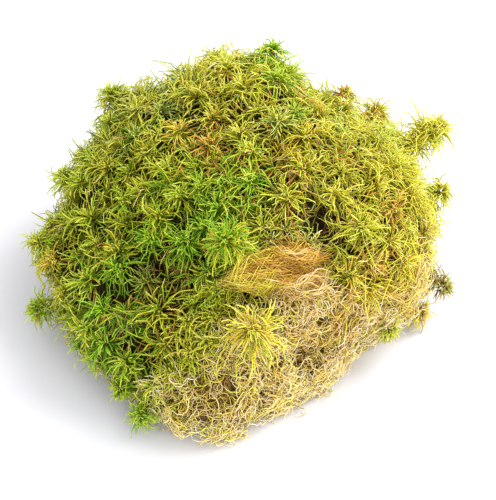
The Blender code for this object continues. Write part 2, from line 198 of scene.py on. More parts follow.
# The two tones of each plant that stands clear of the mass
PLANTS = {
    "plant_front_foot": ("grass", "fresh"),
    "plant_front_low": ("fresh", "grass"),
    "plant_left_low": ("fresh", "grass"),
    "plant_left_edge": ("olive", "grass"),
    "plant_left_side": ("grass", "lime"),
    "plant_back_left": ("grass", "olive"),
    "plant_back_crown": ("deep", "fresh"),
    "plant_back_red": ("rust", "lime"),
    "plant_back_right": ("lime", "gold"),
    "plant_upper_right": ("lime", "yellow"),
    "plant_right_edge": ("yellow", "lime"),
    "plant_right_low": ("dull", "brown"),
    "plant_right_foot": ("straw", "yellow"),
    "plant_right_base": ("grass", "lime"),
    "bright_star_plant": ("fresh", "lime"),
    "drooping_plant": ("yellow", "straw"),
}
GREEN_PLANTS = (
    "plant_front_foot", "plant_front_low", "plant_left_low", "plant_left_edge", "plant_left_side",
    "plant_back_left", "bright_star_plant",
)
PLANT_LIGHT = {"bright_star_plant": 0.66, "drooping_plant": 0.74}
BUSHY_REACH = 7.5 * MM
LONG_STEM = 12 * MM
DROOPING_AXIS = (0.1, -0.5, 0.7)
DROOPING_DROP = 2.2
PLANT_DROP = 0.4

# What is read from a plant's solid: its ray tips and the points round its root; and a long solid's ends
RAYS = 5
RING = 10
END_SHARE = 0.12

# The frame of the photograph, in which the tables below give places across and down
PHOTO_SIZE = (496, 500)
SENSOR_WIDTH = 36

# Star heads that can be told apart in the photograph: across, down, reach in millimetres, tone
STARS = (
    (88, 216, 10, "grass"), (158, 216, 10, "lime"), (96, 244, 9, "lime"), (152, 238, 9, "fresh"),
    (187, 240, 10, "fresh"), (116, 250, 9, "olive"), (88, 278, 9, "grass"), (144, 282, 8, "dull"),
    (118, 268, 8, "fresh"), (158, 308, 11, "lime"), (102, 310, 9, "fresh"), (134, 322, 8, "deep"),
    (84, 328, 9, "lime"), (104, 342, 9, "fresh"), (164, 344, 10, "olive"), (92, 354, 6, "grass"),
    (78, 342, 5, "deep"), (52, 224, 8, "lime"), (42, 262, 5, "olive"), (52, 258, 6, "gold"),
    (60, 292, 7, "olive"), (198, 300, 9, "grass"), (186, 322, 9, "lime"), (125, 362, 8, "grass"),
    (170, 372, 8, "lime"), (240, 134, 9, "lime"), (250, 182, 10, "fresh"), (217, 207, 9, "fresh"),
    (203, 226, 8, "fresh"), (167, 167, 10, "lime"), (105, 165, 8, "olive"), (80, 182, 8, "grass"),
    (145, 150, 8, "olive"), (137, 135, 8, "deep"), (200, 187, 8, "grass"), (180, 196, 8, "lime"),
    (124, 200, 8, "grass"), (250, 150, 8, "grass"), (294, 110, 8, "fresh"), (278, 122, 9, "dull"),
    (320, 112, 9, "lime"), (225, 66, 10, "lime"), (240, 84, 9, "lime"), (277, 76, 8, "fresh"),
    (342, 108, 9, "lime"), (304, 136, 9, "yellow"), (340, 130, 8, "dull"), (382, 136, 8, "grass"),
    (400, 166, 11, "yellow"), (410, 195, 11, "yellow"), (360, 229, 10, "lime"), (285, 196, 10, "lime"),
    (340, 170, 9, "olive"), (392, 210, 9, "orange"), (414, 152, 9, "lime"), (376, 186, 9, "yellow"),
    (302, 170, 9, "lime"), (262, 226, 10, "lime"), (270, 240, 9, "dull"), (368, 262, 9, "orange"),
    (350, 275, 9, "gold"), (388, 240, 10, "lime"), (404, 262, 10, "yellow"), (424, 232, 9, "straw"),
    (334, 194, 8, "yellow"), (110, 122, 8, "grass"), (128, 96, 8, "olive"), (160, 112, 9, "dull"),
    (196, 96, 9, "olive"), (212, 116, 9, "olive"), (178, 130, 9, "gold"), (208, 142, 8, "orange"),
    (234, 262, 8, "grass"), (208, 272, 8, "deep"), (214, 318, 9, "olive"), (206, 342, 9, "lime"),
    (286, 228, 9, "lime"), (306, 243, 8, "dull"), (222, 336, 8, "yellow"), (190, 352, 9, "olive"),
    (152, 386, 7, "lime"), (218, 292, 8, "grass"),
)

# Dark gaps between the plants and between the stems: across, down, radius in millimetres
GAPS = (
    (274, 186, 3.5), (278, 214, 3.0), (299, 207, 4.6), (312, 210, 6.6), (326, 222, 5.6), (351, 253, 3.0),
    (325, 262, 3.0), (236, 162, 2.4), (136, 217, 3.6), (153, 266, 4.6), (130, 277, 3.0), (116, 300, 2.0),
    (140, 342, 4.0), (120, 325, 2.0), (172, 282, 3.0), (256, 345, 3.6), (228, 374, 2.0), (262, 392, 2.4),
    (272, 362, 3.0), (284, 318, 3.4), (338, 296, 3.6), (318, 322, 2.8), (322, 352, 2.4), (296, 352, 2.6),
    (194, 376, 2.2), (352, 318, 2.6), (298, 272, 3.0), (306, 378, 2.2),
)

# Where pale curls lie under the tuft, and the two ends of the loose arcs along the back left
FLUFF = (302, 300)
FLUFF_STRETCH = (0.7, 1, 1.4)
FLUFF_RADIUS = 8 * MM
FRINGE = ((120, 100), (190, 80))
FRINGE_WIDTH = 9 * MM

# Strands that run down from the tip of the tuft over the seam: the top and the foot of their bed
FLOW = ((238, 296), (196, 372))
FLOW_WIDTH = 9 * MM

# The sides of the clump that a big piece is cut into, and how many triangles a piece may have
SIDES = {
    "left": (-60, -30, 30),
    "front": (-15, -45, 50),
    "right": (65, -10, 50),
    "crown": (0, 15, 85),
    "back_left": (-45, 55, 50),
    "back_right": (35, 60, 50),
}
PIECE_TRIANGLES = 190000

# How many strands of each kind there are, and how many of them lie together in a lock
LIMP_COUNT = 3900
THREAD_LOCKS, THREADS_EACH, LONE_THREADS, COMBED_THREADS = 400, 4, 420, 120
LOCK_STEMS = 9
LOCK_SHARE = 0.72
FLUFF_COUNT = 170

# Sizes of the swells that stems lie in, and how far up stems show round the foot of the moss
SWELL_SIZES = (13 * MM, 6.5 * MM)
RIM_HEIGHT = 6 * MM

# The tuft: its locks, the way it faces, how far heads stay off it, and how far above it rays start
TUFT_LOCKS, FIBRES_EACH = 150, 12
TUFT_UP = (0, -0.64, 0.77)
TUFT_BERTH = 9 * MM
TUFT_ABOVE = 40 * MM

# Half the tuft's width along it, from its right end to its left one
TUFT_PLACES = (-0.1, 0.05, 0.3, 0.6, 0.85, 1.05)
TUFT_HALVES = (6.0, 8.0, 8.8, 7.4, 5.0, 2.4)

# The hollow in the tuft: where it lies along and across, its reach each way, and its depth
HOLLOW_ALONG, HOLLOW_ACROSS = 0.3, -0.5
HOLLOW_LONG, HOLLOW_WIDE = 0.15, 3.0
HOLLOW_DEPTH = 3.2

# How far strands stay off the table, and how far the tone differs from one side of a strand to the other
TABLE_GAP = 0.1 * MM
SIDE_TONE = 0.006

# Finish of each kind of strand: roughness, scales along it, their painted shade, relief and glow
FINISHES = {
    "living_branches": (0.55, 16.0, 0.22, 0.35, 0.4),
    "limp_stems": (0.6, 9.0, 0.15, 0.3, 0.5),
    "dry_fibres": (0.6, 7.0, 0.12, 0.3, 0.1),
}

# The litter inside the two masses, its dark colours partly dead stems, partly painted shade in the gaps:
# piece, slot, colours from dark to flecks
LITTER_AND_SHADE = {
    "living_cushion": ("moss_litter_and_shade", "living_moss", ((20, 15, 5), (48, 40, 12), (88, 70, 28))),
    "bleached_stems": ("stem_litter_and_shade", "bleached_stems", ((58, 38, 18), (122, 90, 46), (172, 138, 84))),
}
BARK = ((26, 16, 8), (66, 42, 24), (128, 98, 66))
TWIG_SIDES = 8
TWIG_STEPS = 16
TWIG_RADIUS = 0.62 * MM

# The studio: the floor, each light with the way to it, its size and its power, and the camera's nearest
FLOOR_CELLS = 8
FLOOR_REACH = 3.0
NEAREST_SEEN = 0.01
LAMPS = (("key", (0.85, 0.3, 1.0), 0.6, 9.5), ("fill", (0.4, -1.0, 0.5), 0.9, 6.2))
LAMP_DISTANCE = 0.9
LAMP_TARGET = Vector((0, 0, 0.04))
SKY = 1.16


class MossSizes(bpy.types.PropertyGroup):
    """Sizes of the moss that a user would change."""

    head_spacing: FloatProperty(
        name="Head spacing", description="Least distance between two star heads", default=9.4 * MM,
        min=5 * MM, max=30 * MM, subtype="DISTANCE", unit="LENGTH")
    branch_length: FloatProperty(
        name="Branch length", description="Length of a head's outer branches", default=9.6 * MM,
        min=3 * MM, max=20 * MM, subtype="DISTANCE", unit="LENGTH")
    branch_width: FloatProperty(
        name="Branch width", description="Thickness of a branch at its middle", default=0.56 * MM,
        min=0.3 * MM, max=3 * MM, subtype="DISTANCE", unit="LENGTH")
    stem_width: FloatProperty(
        name="Stem width", description="Thickness of a bleached stem", default=0.44 * MM,
        min=0.3 * MM, max=3 * MM, subtype="DISTANCE", unit="LENGTH")
    stem_count: IntProperty(
        name="Bleached stems", description="How many limp stems cover the torn side", default=3900,
        min=100, max=8000)
    heart_depth: FloatProperty(
        name="Heart depth", description="How far the dark hearts lie under the surface", default=6.5 * MM,
        min=1 * MM, max=12 * MM, subtype="DISTANCE", unit="LENGTH")


class MossStage(bpy.types.PropertyGroup):
    """The camera, floor and lights."""

    elevation: FloatProperty(
        name="Elevation", description="How far the camera looks down", default=math.radians(40),
        subtype="ANGLE", unit="ROTATION")
    distance: FloatProperty(
        name="Distance", description="From the camera to the middle of the clump", default=0.4725,
        subtype="DISTANCE", unit="LENGTH")
    lens: FloatProperty(
        name="Lens", description="Focal length of the camera", default=85, subtype="DISTANCE_CAMERA",
        unit="CAMERA")
    floor_colour: FloatVectorProperty(
        name="Floor colour", description="Colour of the table under the moss", subtype="COLOR", size=3,
        default=(0.66, 0.66, 0.69), min=0, max=1)


def random_stream(kind):
    """Seeded random numbers, the same at each run."""
    return np.random.default_rng(SEEDS[kind])


def linear(colour):
    """A colour written in 0 to 255 as the shader takes it."""
    made = [c / 255 / 12.92 if c / 255 <= 0.04045 else ((c / 255 + 0.055) / 1.055) ** 2.4 for c in colour]
    return (*made, 1.0)


def unit(vectors):
    """Each vector at length one."""
    return vectors / np.maximum(np.linalg.norm(vectors, axis=-1, keepdims=True), 1e-12)


def square_to(directions, vectors):
    """The part of each vector that is square to its direction, at length one."""
    return unit(vectors - (vectors * directions).sum(-1, keepdims=True) * directions)


def apart(points, others):
    """How far each point is from the nearest of the others."""
    return np.linalg.norm(points[:, None] - others, axis=2).min(1)


def nearness(points, place):
    """How near each point is to a place: 1 in its middle, and less further out."""
    middle, reach = place
    return np.exp(-(((points / MM - middle) / reach) ** 2).sum(1))


def facing(place, away):
    """A turn that has Z run along a way, and a move to a place."""
    return Matrix.Translation(place) @ away.to_track_quat("Z", "Y").to_matrix().to_4x4()


def extruded(bm, ring):
    """Extrudes a ring of edges, and gives the new vertices and edges."""
    made = bmesh.ops.extrude_edge_only(bm, edges=ring)["geom"]
    verts = [item for item in made if isinstance(item, bmesh.types.BMVert)]
    return verts, [item for item in made if isinstance(item, bmesh.types.BMEdge)]


def object_of(bm, name):
    """A bmesh made an object of the scene."""
    mesh = bpy.data.meshes.new(name)
    bm.to_mesh(mesh)
    bm.free()
    piece = bpy.data.objects.new(name, mesh)
    bpy.context.scene.collection.objects.link(piece)
    return piece


def melted(name, nodes, voxel, rounds):
    """Some solids as one object, remeshed and smoothed."""
    bm = bmesh.new()
    for node in nodes:
        bm.from_mesh(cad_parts[node].data)
    bmesh.ops.remove_doubles(bm, verts=bm.verts, dist=WELD)
    piece = object_of(bm, name)
    remesh = piece.modifiers.new("remesh", "REMESH")
    remesh.mode = "VOXEL"
    remesh.voxel_size = voxel
    smooth = piece.modifiers.new("smooth", "SMOOTH")
    smooth.factor = 0.5
    smooth.iterations = rounds
    graph = bpy.context.evaluated_depsgraph_get()
    made = bpy.data.meshes.new_from_object(piece.evaluated_get(graph), depsgraph=graph)
    piece.modifiers.clear()
    piece.data = made
    return piece


def hand_over(piece, material, slot, *nodes):
    """Gives a piece its finish and its body, and hides the solids that it stands for."""
    piece.data.materials.clear()
    piece.data.materials.append(material)
    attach(piece, BODY)
    if nodes:
        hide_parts(*nodes)
    return piece


# Shader groups and materials


def new_group(name, inputs, outputs):
    """An empty shader group with named sockets, and its two ends."""
    group = bpy.data.node_groups.new(name, "ShaderNodeTree")
    for label, kind, value in inputs:
        socket = group.interface.new_socket(name=label, in_out="INPUT", socket_type=kind)
        if value is not None:
            socket.default_value = value
    for label, kind in outputs:
        group.interface.new_socket(name=label, in_out="OUTPUT", socket_type=kind)
    start = group.nodes.new("NodeGroupInput")
    end = group.nodes.new("NodeGroupOutput")
    return group, start, end


def ramp_node(tree, stops, source):
    """A colour ramp with the given stops, fed by a value."""
    node = tree.nodes.new("ShaderNodeValToRGB")
    elements = node.color_ramp.elements
    for place, _ in stops[1:-1]:
        elements.new(place)
    for element, (place, colour) in zip(elements, stops):
        element.position = place
        element.color = colour
    tree.links.new(source, node.inputs["Fac"])
    return node.outputs["Color"]


def feed(tree, socket, value):
    """Links a socket to another, or gives it a value."""
    if isinstance(value, bpy.types.NodeSocket):
        tree.links.new(value, socket)
    else:
        socket.default_value = value


def math_node(tree, operation, *values, clamp=False):
    """One sum of values or sockets."""
    node = tree.nodes.new("ShaderNodeMath")
    node.operation = operation
    node.use_clamp = clamp
    for socket, value in zip(node.inputs, values):
        feed(tree, socket, value)
    return node.outputs["Value"]


def mix_node(tree, share, first, second, blend="MIX"):
    """Two colours mixed by a share."""
    node = tree.nodes.new("ShaderNodeMix")
    node.data_type = "RGBA"
    node.blend_type = blend
    for label, value in (("Factor", share), ("A", first), ("B", second)):
        feed(tree, node.inputs[label], value)
    return node.outputs["Result"]


def strand_group():
    """Colour and relief of a branch, from its tone across the palette and the place along it."""
    made = bpy.data.node_groups.get("strand_tones")
    if made:
        return made
    group, start, end = new_group(
        "strand_tones",
        [
            ("UV", "NodeSocketVector", None),
            ("Scales", "NodeSocketFloat", 22.0),
            ("Painted Scale Shade", "NodeSocketFloat", 0.25),
        ],
        [("Color", "NodeSocketColor"), ("Height", "NodeSocketFloat")],
    )
    split = group.nodes.new("ShaderNodeSeparateXYZ")
    group.links.new(start.outputs["UV"], split.inputs["Vector"])
    across, along = split.outputs["X"], split.outputs["Y"]
    root, middle, tip = (
        ramp_node(group, [(tone_u(tone[0]), linear(tone[k])) for tone in TONES], across) for k in (1, 2, 3)
    )
    # Root, middle and tip colour along the branch; the dark root is partly the branch's own colour, partly
    # painted shade deep in the head
    low = math_node(group, "MULTIPLY", along, 2.0, clamp=True)
    high = math_node(group, "SUBTRACT", math_node(group, "MULTIPLY", along, 2.0), 1.0, clamp=True)
    colour = mix_node(group, high, mix_node(group, low, root, middle), tip)
    # Small leaves overlap along a branch: each is painted dark where it starts, painted shade under the lip
    # of the leaf before it, and is pale at its lip
    leaf = math_node(group, "FRACT", math_node(group, "MULTIPLY", along, start.outputs["Scales"]))
    lip = math_node(group, "SUBTRACT", 1.0, leaf)
    painted_shade = math_node(group, "MULTIPLY", lip, start.outputs["Painted Scale Shade"])
    colour = mix_node(group, painted_shade, colour, (0.02, 0.02, 0.005, 1), "MULTIPLY")
    group.links.new(colour, end.inputs["Color"])
    group.links.new(leaf, end.inputs["Height"])
    return group


def new_material(name, roughness, specular=0.3, glow=0.0):
    """A material with its shader, and the tree to build in."""
    material = bpy.data.materials.new(name)
    material.use_nodes = True
    shader = material.node_tree.nodes["Principled BSDF"]
    shader.inputs["Roughness"].default_value = roughness
    shader.inputs["Specular IOR Level"].default_value = specular
    shader.inputs["Subsurface Weight"].default_value = glow
    shader.inputs["Subsurface Radius"].default_value = (1.0, 1.0, 0.4)
    shader.inputs["Subsurface Scale"].default_value = 1.0 * MM
    return material, material.node_tree, shader


def add_relief(tree, shader, height, strength, depth):
    """Relief on a shader, from the heights that a socket gives."""
    bump = tree.nodes.new("ShaderNodeBump")
    bump.inputs["Strength"].default_value = strength
    bump.inputs["Distance"].default_value = depth
    tree.links.new(height, bump.inputs["Height"])
    tree.links.new(bump.outputs["Normal"], shader.inputs["Normal"])


def strand_material(name):
    """The finish of a kind of strand, whose tone and place along it are read from its UV map."""
    made = bpy.data.materials.get(name)
    if made:
        return made
    roughness, scales, painted_scale_shade, relief, glow = FINISHES[name]
    material, tree, shader = new_material(name, roughness, glow=glow)
    uv = tree.nodes.new("ShaderNodeUVMap")
    uv.uv_map = "OFBake"
    tones = tree.nodes.new("ShaderNodeGroup")
    tones.node_tree = strand_group()
    tones.inputs["Scales"].default_value = scales
    tones.inputs["Painted Scale Shade"].default_value = painted_scale_shade
    tree.links.new(uv.outputs["UV"], tones.inputs["UV"])
    tree.links.new(tones.outputs["Color"], shader.inputs["Base Color"])
    add_relief(tree, shader, tones.outputs["Height"], relief, 0.1 * MM)
    return material


def grained_material(name, roughness, specular, scale, stops, detail=2.0, breakup=0.5, relief=None):
    """A finish of broken grain, read from Object coordinates."""
    material, tree, shader = new_material(name, roughness, specular)
    place = tree.nodes.new("ShaderNodeTexCoord")
    grain = tree.nodes.new("ShaderNodeTexNoise")
    for label, value in (("Scale", scale), ("Detail", detail), ("Roughness", breakup)):
        grain.inputs[label].default_value = value
    tree.links.new(place.outputs["Object"], grain.inputs["Vector"])
    tree.links.new(ramp_node(tree, stops, grain.outputs["Fac"]), shader.inputs["Base Color"])
    if relief:
        add_relief(tree, shader, grain.outputs["Fac"], *relief)
    return material


# Branches: one tapered strand made with bmesh, then copied along many centrelines


class Strand:
    """A straight strand of unit length and unit radius, standing on the origin."""

    def __init__(self, widths, places=None, sides=3):
        if places is None:
            places = np.linspace(0, 1, len(widths) + 2)[1:-1]
        bm = bmesh.new()
        made = bmesh.ops.create_circle(bm, segments=sides, radius=widths[0])
        bmesh.ops.translate(bm, vec=(0, 0, places[0]), verts=made["verts"])
        ring = list(bm.edges)
        first = ring
        for k in range(1, len(widths)):
            verts, ring = extruded(bm, ring)
            wider = widths[k] / widths[k - 1]
            bmesh.ops.scale(bm, vec=(wider, wider, 1), verts=verts)
            bmesh.ops.translate(bm, vec=(0, 0, places[k] - places[k - 1]), verts=verts)
        for ends, height in ((ring, 1.0), (first, 0.0)):
            verts, _ = extruded(bm, ends)
            bmesh.ops.pointmerge(bm, verts=verts, merge_co=(0, 0, height))
        bmesh.ops.recalc_face_normals(bm, faces=bm.faces)
        self.places = np.array([0.0, *places, 1.0])
        self.rings = len(self.places)
        self.points = np.array([v.co for v in bm.verts], float)
        order = {v: i for i, v in enumerate(bm.verts)}
        faces = [[order[v] for v in face.verts] for face in bm.faces]
        bm.free()
        self.sizes = np.array([len(face) for face in faces])
        self.corners = np.concatenate(faces)
        self.triangles = int((self.sizes - 2).sum())
        self.ring_of = np.abs(self.points[:, 2:] - self.places).argmin(1)
        x, y, _ = self.points.T
        self.side = np.where(np.hypot(x, y) < WELD, 0.5, np.arctan2(y, x) / math.tau % 1.0)


BRANCH = Strand((0.8, 1.0, 1.0, 0.8), (0.06, 0.36, 0.66, 0.9))
UNDER_BRANCH = Strand((0.9, 1.0, 0.8), (0.08, 0.48, 0.88))
THREAD = Strand((0.8, 1.0, 1.0, 1.0, 0.95, 0.85, 0.65))
FIBRE = Strand((0.6, 1.0, 1.0, 1.0, 0.9, 0.6))


class Bundle:
    """Many strands of one kind: their centrelines, the way across each, radius, tone and light."""

    def __init__(self):
        self.rows = []

    def add(self, lines, across, radius, tone, low, high):
        values = (radius, np.clip(tone, *TONE_ENDS), low, high)
        shared = (np.broadcast_to(np.asarray(value, float), len(lines)) for value in values)
        self.rows.append((lines, np.broadcast_to(across, lines.shape), *shared))

    def roots(self):
        """Where the strands start."""
        return np.concatenate([row[0][:, 0] for row in self.rows])

    def mesh(self, name, strand, keep):
        """One joined mesh of the strands that keep marks."""
        lines, across, radius, tone, low, high = (np.concatenate(column)[keep] for column in zip(*self.rows))
        lines = lines.copy()
        lines[:, :, 2] = np.maximum(lines[:, :, 2], radius[:, None] * 0.8 + TABLE_GAP)
        along = unit(np.gradient(lines, axis=1))
        side = square_to(along, across)
        front = np.cross(side, along)
        at = strand.ring_of
        points = (
            lines[:, at]
            + front[:, at] * (strand.points[:, 0] * radius[:, None])[..., None]
            + side[:, at] * (strand.points[:, 1] * radius[:, None])[..., None]
        )
        points[:, :, 2] = np.maximum(points[:, :, 2], TABLE_GAP / 2)
        count, each = len(lines), len(strand.points)
        corners = (np.arange(count)[:, None] * each + strand.corners).ravel()
        sizes = np.tile(strand.sizes, count)
        mesh = bpy.data.meshes.new(name)
        mesh.vertices.add(count * each)
        mesh.vertices.foreach_set("co", points.astype(np.float32).ravel())
        mesh.loops.add(len(corners))
        mesh.loops.foreach_set("vertex_index", corners.astype(np.int32))
        mesh.polygons.add(len(sizes))
        mesh.polygons.foreach_set("loop_start", (np.cumsum(sizes) - sizes).astype(np.int32))
        mesh.update(calc_edges=True)
        uv = mesh.uv_layers.new(name="OFBake")
        place = low[:, None] + (high - low)[:, None] * strand.points[:, 2]
        wide = tone[:, None] + SIDE_TONE * strand.side
        values = np.stack([wide, np.clip(place, 0.003, 0.997)], -1).reshape(-1, 2)
        uv.data.foreach_set("uv", values[corners].astype(np.float32).ravel())
        mesh.shade_smooth()
        mesh.validate()
        return mesh

    def piece(self, name, strand, finish, slot, *nodes, keep=slice(None)):
        """The strands that keep marks as a finished piece."""
        piece = bpy.data.objects.new(name, self.mesh(name, strand, keep))
        bpy.context.scene.collection.objects.link(piece)
        hand_over(piece, strand_material(finish), slot, *nodes)


def arcs(starts, directions, bends, lengths, curls, strand, power=1.2, sway=0.0, drop=0.0):
    """Centrelines that leave their starts in a direction and curl towards their bends."""
    middle = (strand.places[1:] + strand.places[:-1]) / 2
    angle = curls[:, None] * middle**power
    wave = np.broadcast_to(sway, lengths.shape)[:, None] * np.sin(middle * math.pi * 1.5)
    cross = np.cross(directions, bends)
    step = (
        np.cos(angle)[..., None] * directions[:, None]
        + np.sin(angle)[..., None] * bends[:, None]
        + wave[..., None] * cross[:, None]
    )
    step[..., 2] -= np.broadcast_to(drop, lengths.shape)[:, None] * middle
    step = unit(step) * (lengths[:, None] * np.diff(strand.places))[..., None]
    lines = np.concatenate([np.zeros((len(starts), 1, 3)), np.cumsum(step, 1)], 1)
    return lines + starts[:, None], cross[:, None]


# The surface that everything stands on


class Skin:
    """The two masses as one smooth surface, with rays and nearest points on it."""

    def __init__(self):
        shell = melted("skin", ("living_cushion", "bleached_stems"), *SKIN_MESH)
        points = [vertex.co for vertex in shell.data.vertices]
        self.tree = BVHTree.FromPolygons(points, [face.vertices for face in shell.data.polygons])
        bpy.data.objects.remove(shell)

    def spots(self):
        """Points and outward normals, spread evenly in direction from the heart."""
        golden = math.pi * (3 - math.sqrt(5))
        places, normals = [], []
        for i in range(SPOT_COUNT):
            z = 1 - 2 * (i + 0.5) / SPOT_COUNT
            flat = math.sqrt(1 - z * z)
            way = Vector((flat * math.cos(golden * i), flat * math.sin(golden * i), z))
            hit, normal, _, _ = self.tree.ray_cast(HEART, way)
            if hit is None or hit.z < FLAT_HEIGHT and normal.z < -0.5:
                continue
            places.append(hit)
            normals.append(normal if normal.dot(way) > 0 else -normal)
        return np.array(places, float), np.array(normals, float)

    def nearest(self, point):
        hit, normal, _, _ = self.tree.find_nearest(Vector(point))
        return hit, normal


@cache
def skin():
    """The surface, made once."""
    return Skin()


def camera_view(stage):
    """The camera's place and turn."""
    away = Vector((0, -math.cos(stage.elevation), math.sin(stage.elevation)))
    return facing(Vector(TARGET) * MM + away * stage.distance, away)


def seen_spot(across, down):
    """Where the camera sees the skin at a place of the photograph, and the way out there."""
    stage = bpy.context.scene.moss_stage
    view = camera_view(stage)
    wide, high = PHOTO_SIZE
    scale = SENSOR_WIDTH / stage.lens / max(wide, high)
    off_middle = Vector(((across + 0.5 - wide / 2) * scale, (high / 2 - down - 0.5) * scale, -1))
    way = view.to_3x3() @ off_middle
    hit, normal, _, _ = skin().tree.ray_cast(view.translation, way.normalized())
    if hit is None:
        hit, normal = skin().nearest(view.translation + way * stage.distance)
    return np.array(hit), np.array(normal if normal.z > -0.5 else -normal)


def between_spots(ends):
    """Points along the skin between two places of the photograph."""
    spots = np.linspace(*ends, 6)
    return np.array([seen_spot(across, down)[0] for across, down in spots])


def solid_points(node):
    """The corners of a solid, each once."""
    points = np.array([v.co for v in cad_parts[node].data.vertices], float)
    return np.unique(np.round(points, 6), axis=0)


def solid_line(node):
    """The two ends of a long solid, the one on the right first."""
    points = solid_points(node)
    middle = points.mean(0)
    along = np.linalg.svd(points - middle)[2][0]
    reach = (points - middle) @ (along * np.sign(along[0]))
    margin = np.ptp(reach) * END_SHARE
    return points[reach > reach.max() - margin].mean(0), points[reach < reach.min() + margin].mean(0)


def plant_shape(node):
    """The middle of a plant's head, the way it faces and its reach, read from its solid's ray tips."""
    points = solid_points(node)
    root = points[np.linalg.norm(points - np.array(HEART), axis=1).argsort()[:RING]].mean(0)
    stem = unit(points.mean(0) - root)
    off = (points - root) - ((points - root) @ stem)[:, None] * stem
    tips = points[np.linalg.norm(off, axis=1).argsort()[-RAYS:]]
    head = tips.mean(0)
    face = np.linalg.svd(tips - head)[2][2]
    return head, face * np.sign(face @ (head - root)), np.linalg.norm(tips - head, axis=1).mean()


def torn_share(points):
    """How far under the top of the torn side each point is: above 0 among the stems, below 0 on the moss."""
    reach = TORN_RISE * nearness(points, TORN_SIDE)
    return np.where(reach > TORN_LEAST, (reach + STEM_LAYER - points[:, 2] / MM) / TORN_FADE, -1)


@cache
def gap_spots():
    """Where the dark gaps lie on the skin."""
    return np.array([seen_spot(across, down)[0] for across, down, _ in GAPS])


def gap_share(points):
    """How far each point is from the nearest dark gap, where 1 is on its rim."""
    radii = np.array([radius for _, _, radius in GAPS]) * MM
    return (np.linalg.norm(points[:, None] - gap_spots(), axis=2) / radii).min(1)


def spaced(places, spacings, order):
    """Which of the places stay when each keeps its distance from those taken before it."""
    taken = []
    kept = np.zeros((0, 3))
    for i in order:
        if len(kept) and np.min(((kept - places[i]) ** 2).sum(1)) < spacings[i] ** 2:
            continue
        taken.append(i)
        kept = places[taken]
    return np.array(taken)


def tone_picks(places, stream):
    """A tone for each place, from the patches round it."""
    middles = np.array([patch[0] for patch in PATCHES], float) * MM
    radii = np.array([patch[1] for patch in PATCHES], float) * MM
    table = np.array([[patch[2].get(name, 0) for name in TONE_NAMES] for patch in PATCHES], float)
    table /= table.sum(1, keepdims=True)
    away = np.linalg.norm(places[:, None] - middles, axis=2) / radii
    pull = np.exp(-(away**2) * 1.6) + 1e-4 / (0.1 + away**4)
    odds = (pull / pull.sum(1, keepdims=True)) @ table
    odds = np.cumsum(odds / odds.sum(1, keepdims=True), 1)
    pick = (stream.random(len(places))[:, None] > odds).sum(1)
    return (np.minimum(pick, len(TONES) - 1) + 0.5) / len(TONES)


def any_tone(stream, count, names, odds=None):
    """A tone for each of so many strands, drawn from the named ones."""
    return stream.choice([tone_u(name) for name in names.split()], count, p=odds)


def in_locks(stream, lock, spread, own, shape=()):
    """A random value for each strand, which the strands of a lock nearly share."""
    shared = stream.normal(0, spread, (lock[-1] + 1, *shape))
    return shared[lock] + stream.normal(0, own, (len(lock), *shape))


def axes_across(axes):
    """Two directions square to each axis and to each other."""
    guide = np.where(np.abs(axes[:, 2:3]) < 0.9, [[0.0, 0.0, 1.0]], [[1.0, 0.0, 0.0]])
    first = square_to(axes, guide)
    return first, np.cross(axes, first)


# Bunches of branches of a head, from its middle out: how many, angle from the axis, share of the reach,
# curl, and how far out and up their roots are
BUNCHES = (
    (6, 12, 0.46, 0.6, 0.5, 1.8),
    (7, 36, 0.78, 1.2, 0.9, 0.8),
    (8, 62, 1.05, 1.5, 1.1, -0.4),
    (4, 92, 1.15, 1.1, 1.2, -1.8),
)
THIN_BUNCHES = (
    (4, 14, 0.46, 0.6, 0.5, 0.9),
    (6, 38, 0.8, 1.2, 0.9, 0.4),
    (7, 64, 1.05, 1.5, 1.1, -0.5),
    (3, 94, 1.1, 1.0, 1.2, -2.0),
)
LOW_BUNCHES = (
    (5, 44, 0.9, 1.3, 0.9, 0.4),
    (6, 74, 1.1, 1.3, 1.1, -0.6),
)
BRANCHES_EACH = 3

# How much branches stray: bunches in turn and tilt, their branches in turn and tilt, bend and length
BUNCH_TURN, BUNCH_TILT = 0.2, 10
BRANCH_TURN, BRANCH_TILT = 0.34, 11
BEND_SWING = 0.7
LENGTH_SPREAD = 0.24

# The share of branches that curl back, and how far
CURLED_BACK, BACK_CURL = 0.14, -0.7

# What heads keep apart, as shares of the spacing: at the back, from the stars, and low heads from others
# and from each other; and how many radii they keep off the dark gaps
BACK_SPACING = 1.2
STAR_BERTH = 0.95
LOW_BERTH = 0.52
LOW_SPACING = 0.9
GAP_BERTH = 1.5

# How deep heads stand in the skin, in millimetres, from the least to the most; low heads have one depth
STAR_SINK = (0.6, 2.6)
HEAD_SINK = (2.4, 5.8)
LOW_SINK = 6.0

# How much deeper they stand at the edge that the camera sees, near the table and where they are short
EDGE_SINK = 3.0
TABLE_SINK = 3.5
LOW_TABLE_SINK = 2.5
SHORT_SINK = 2.5


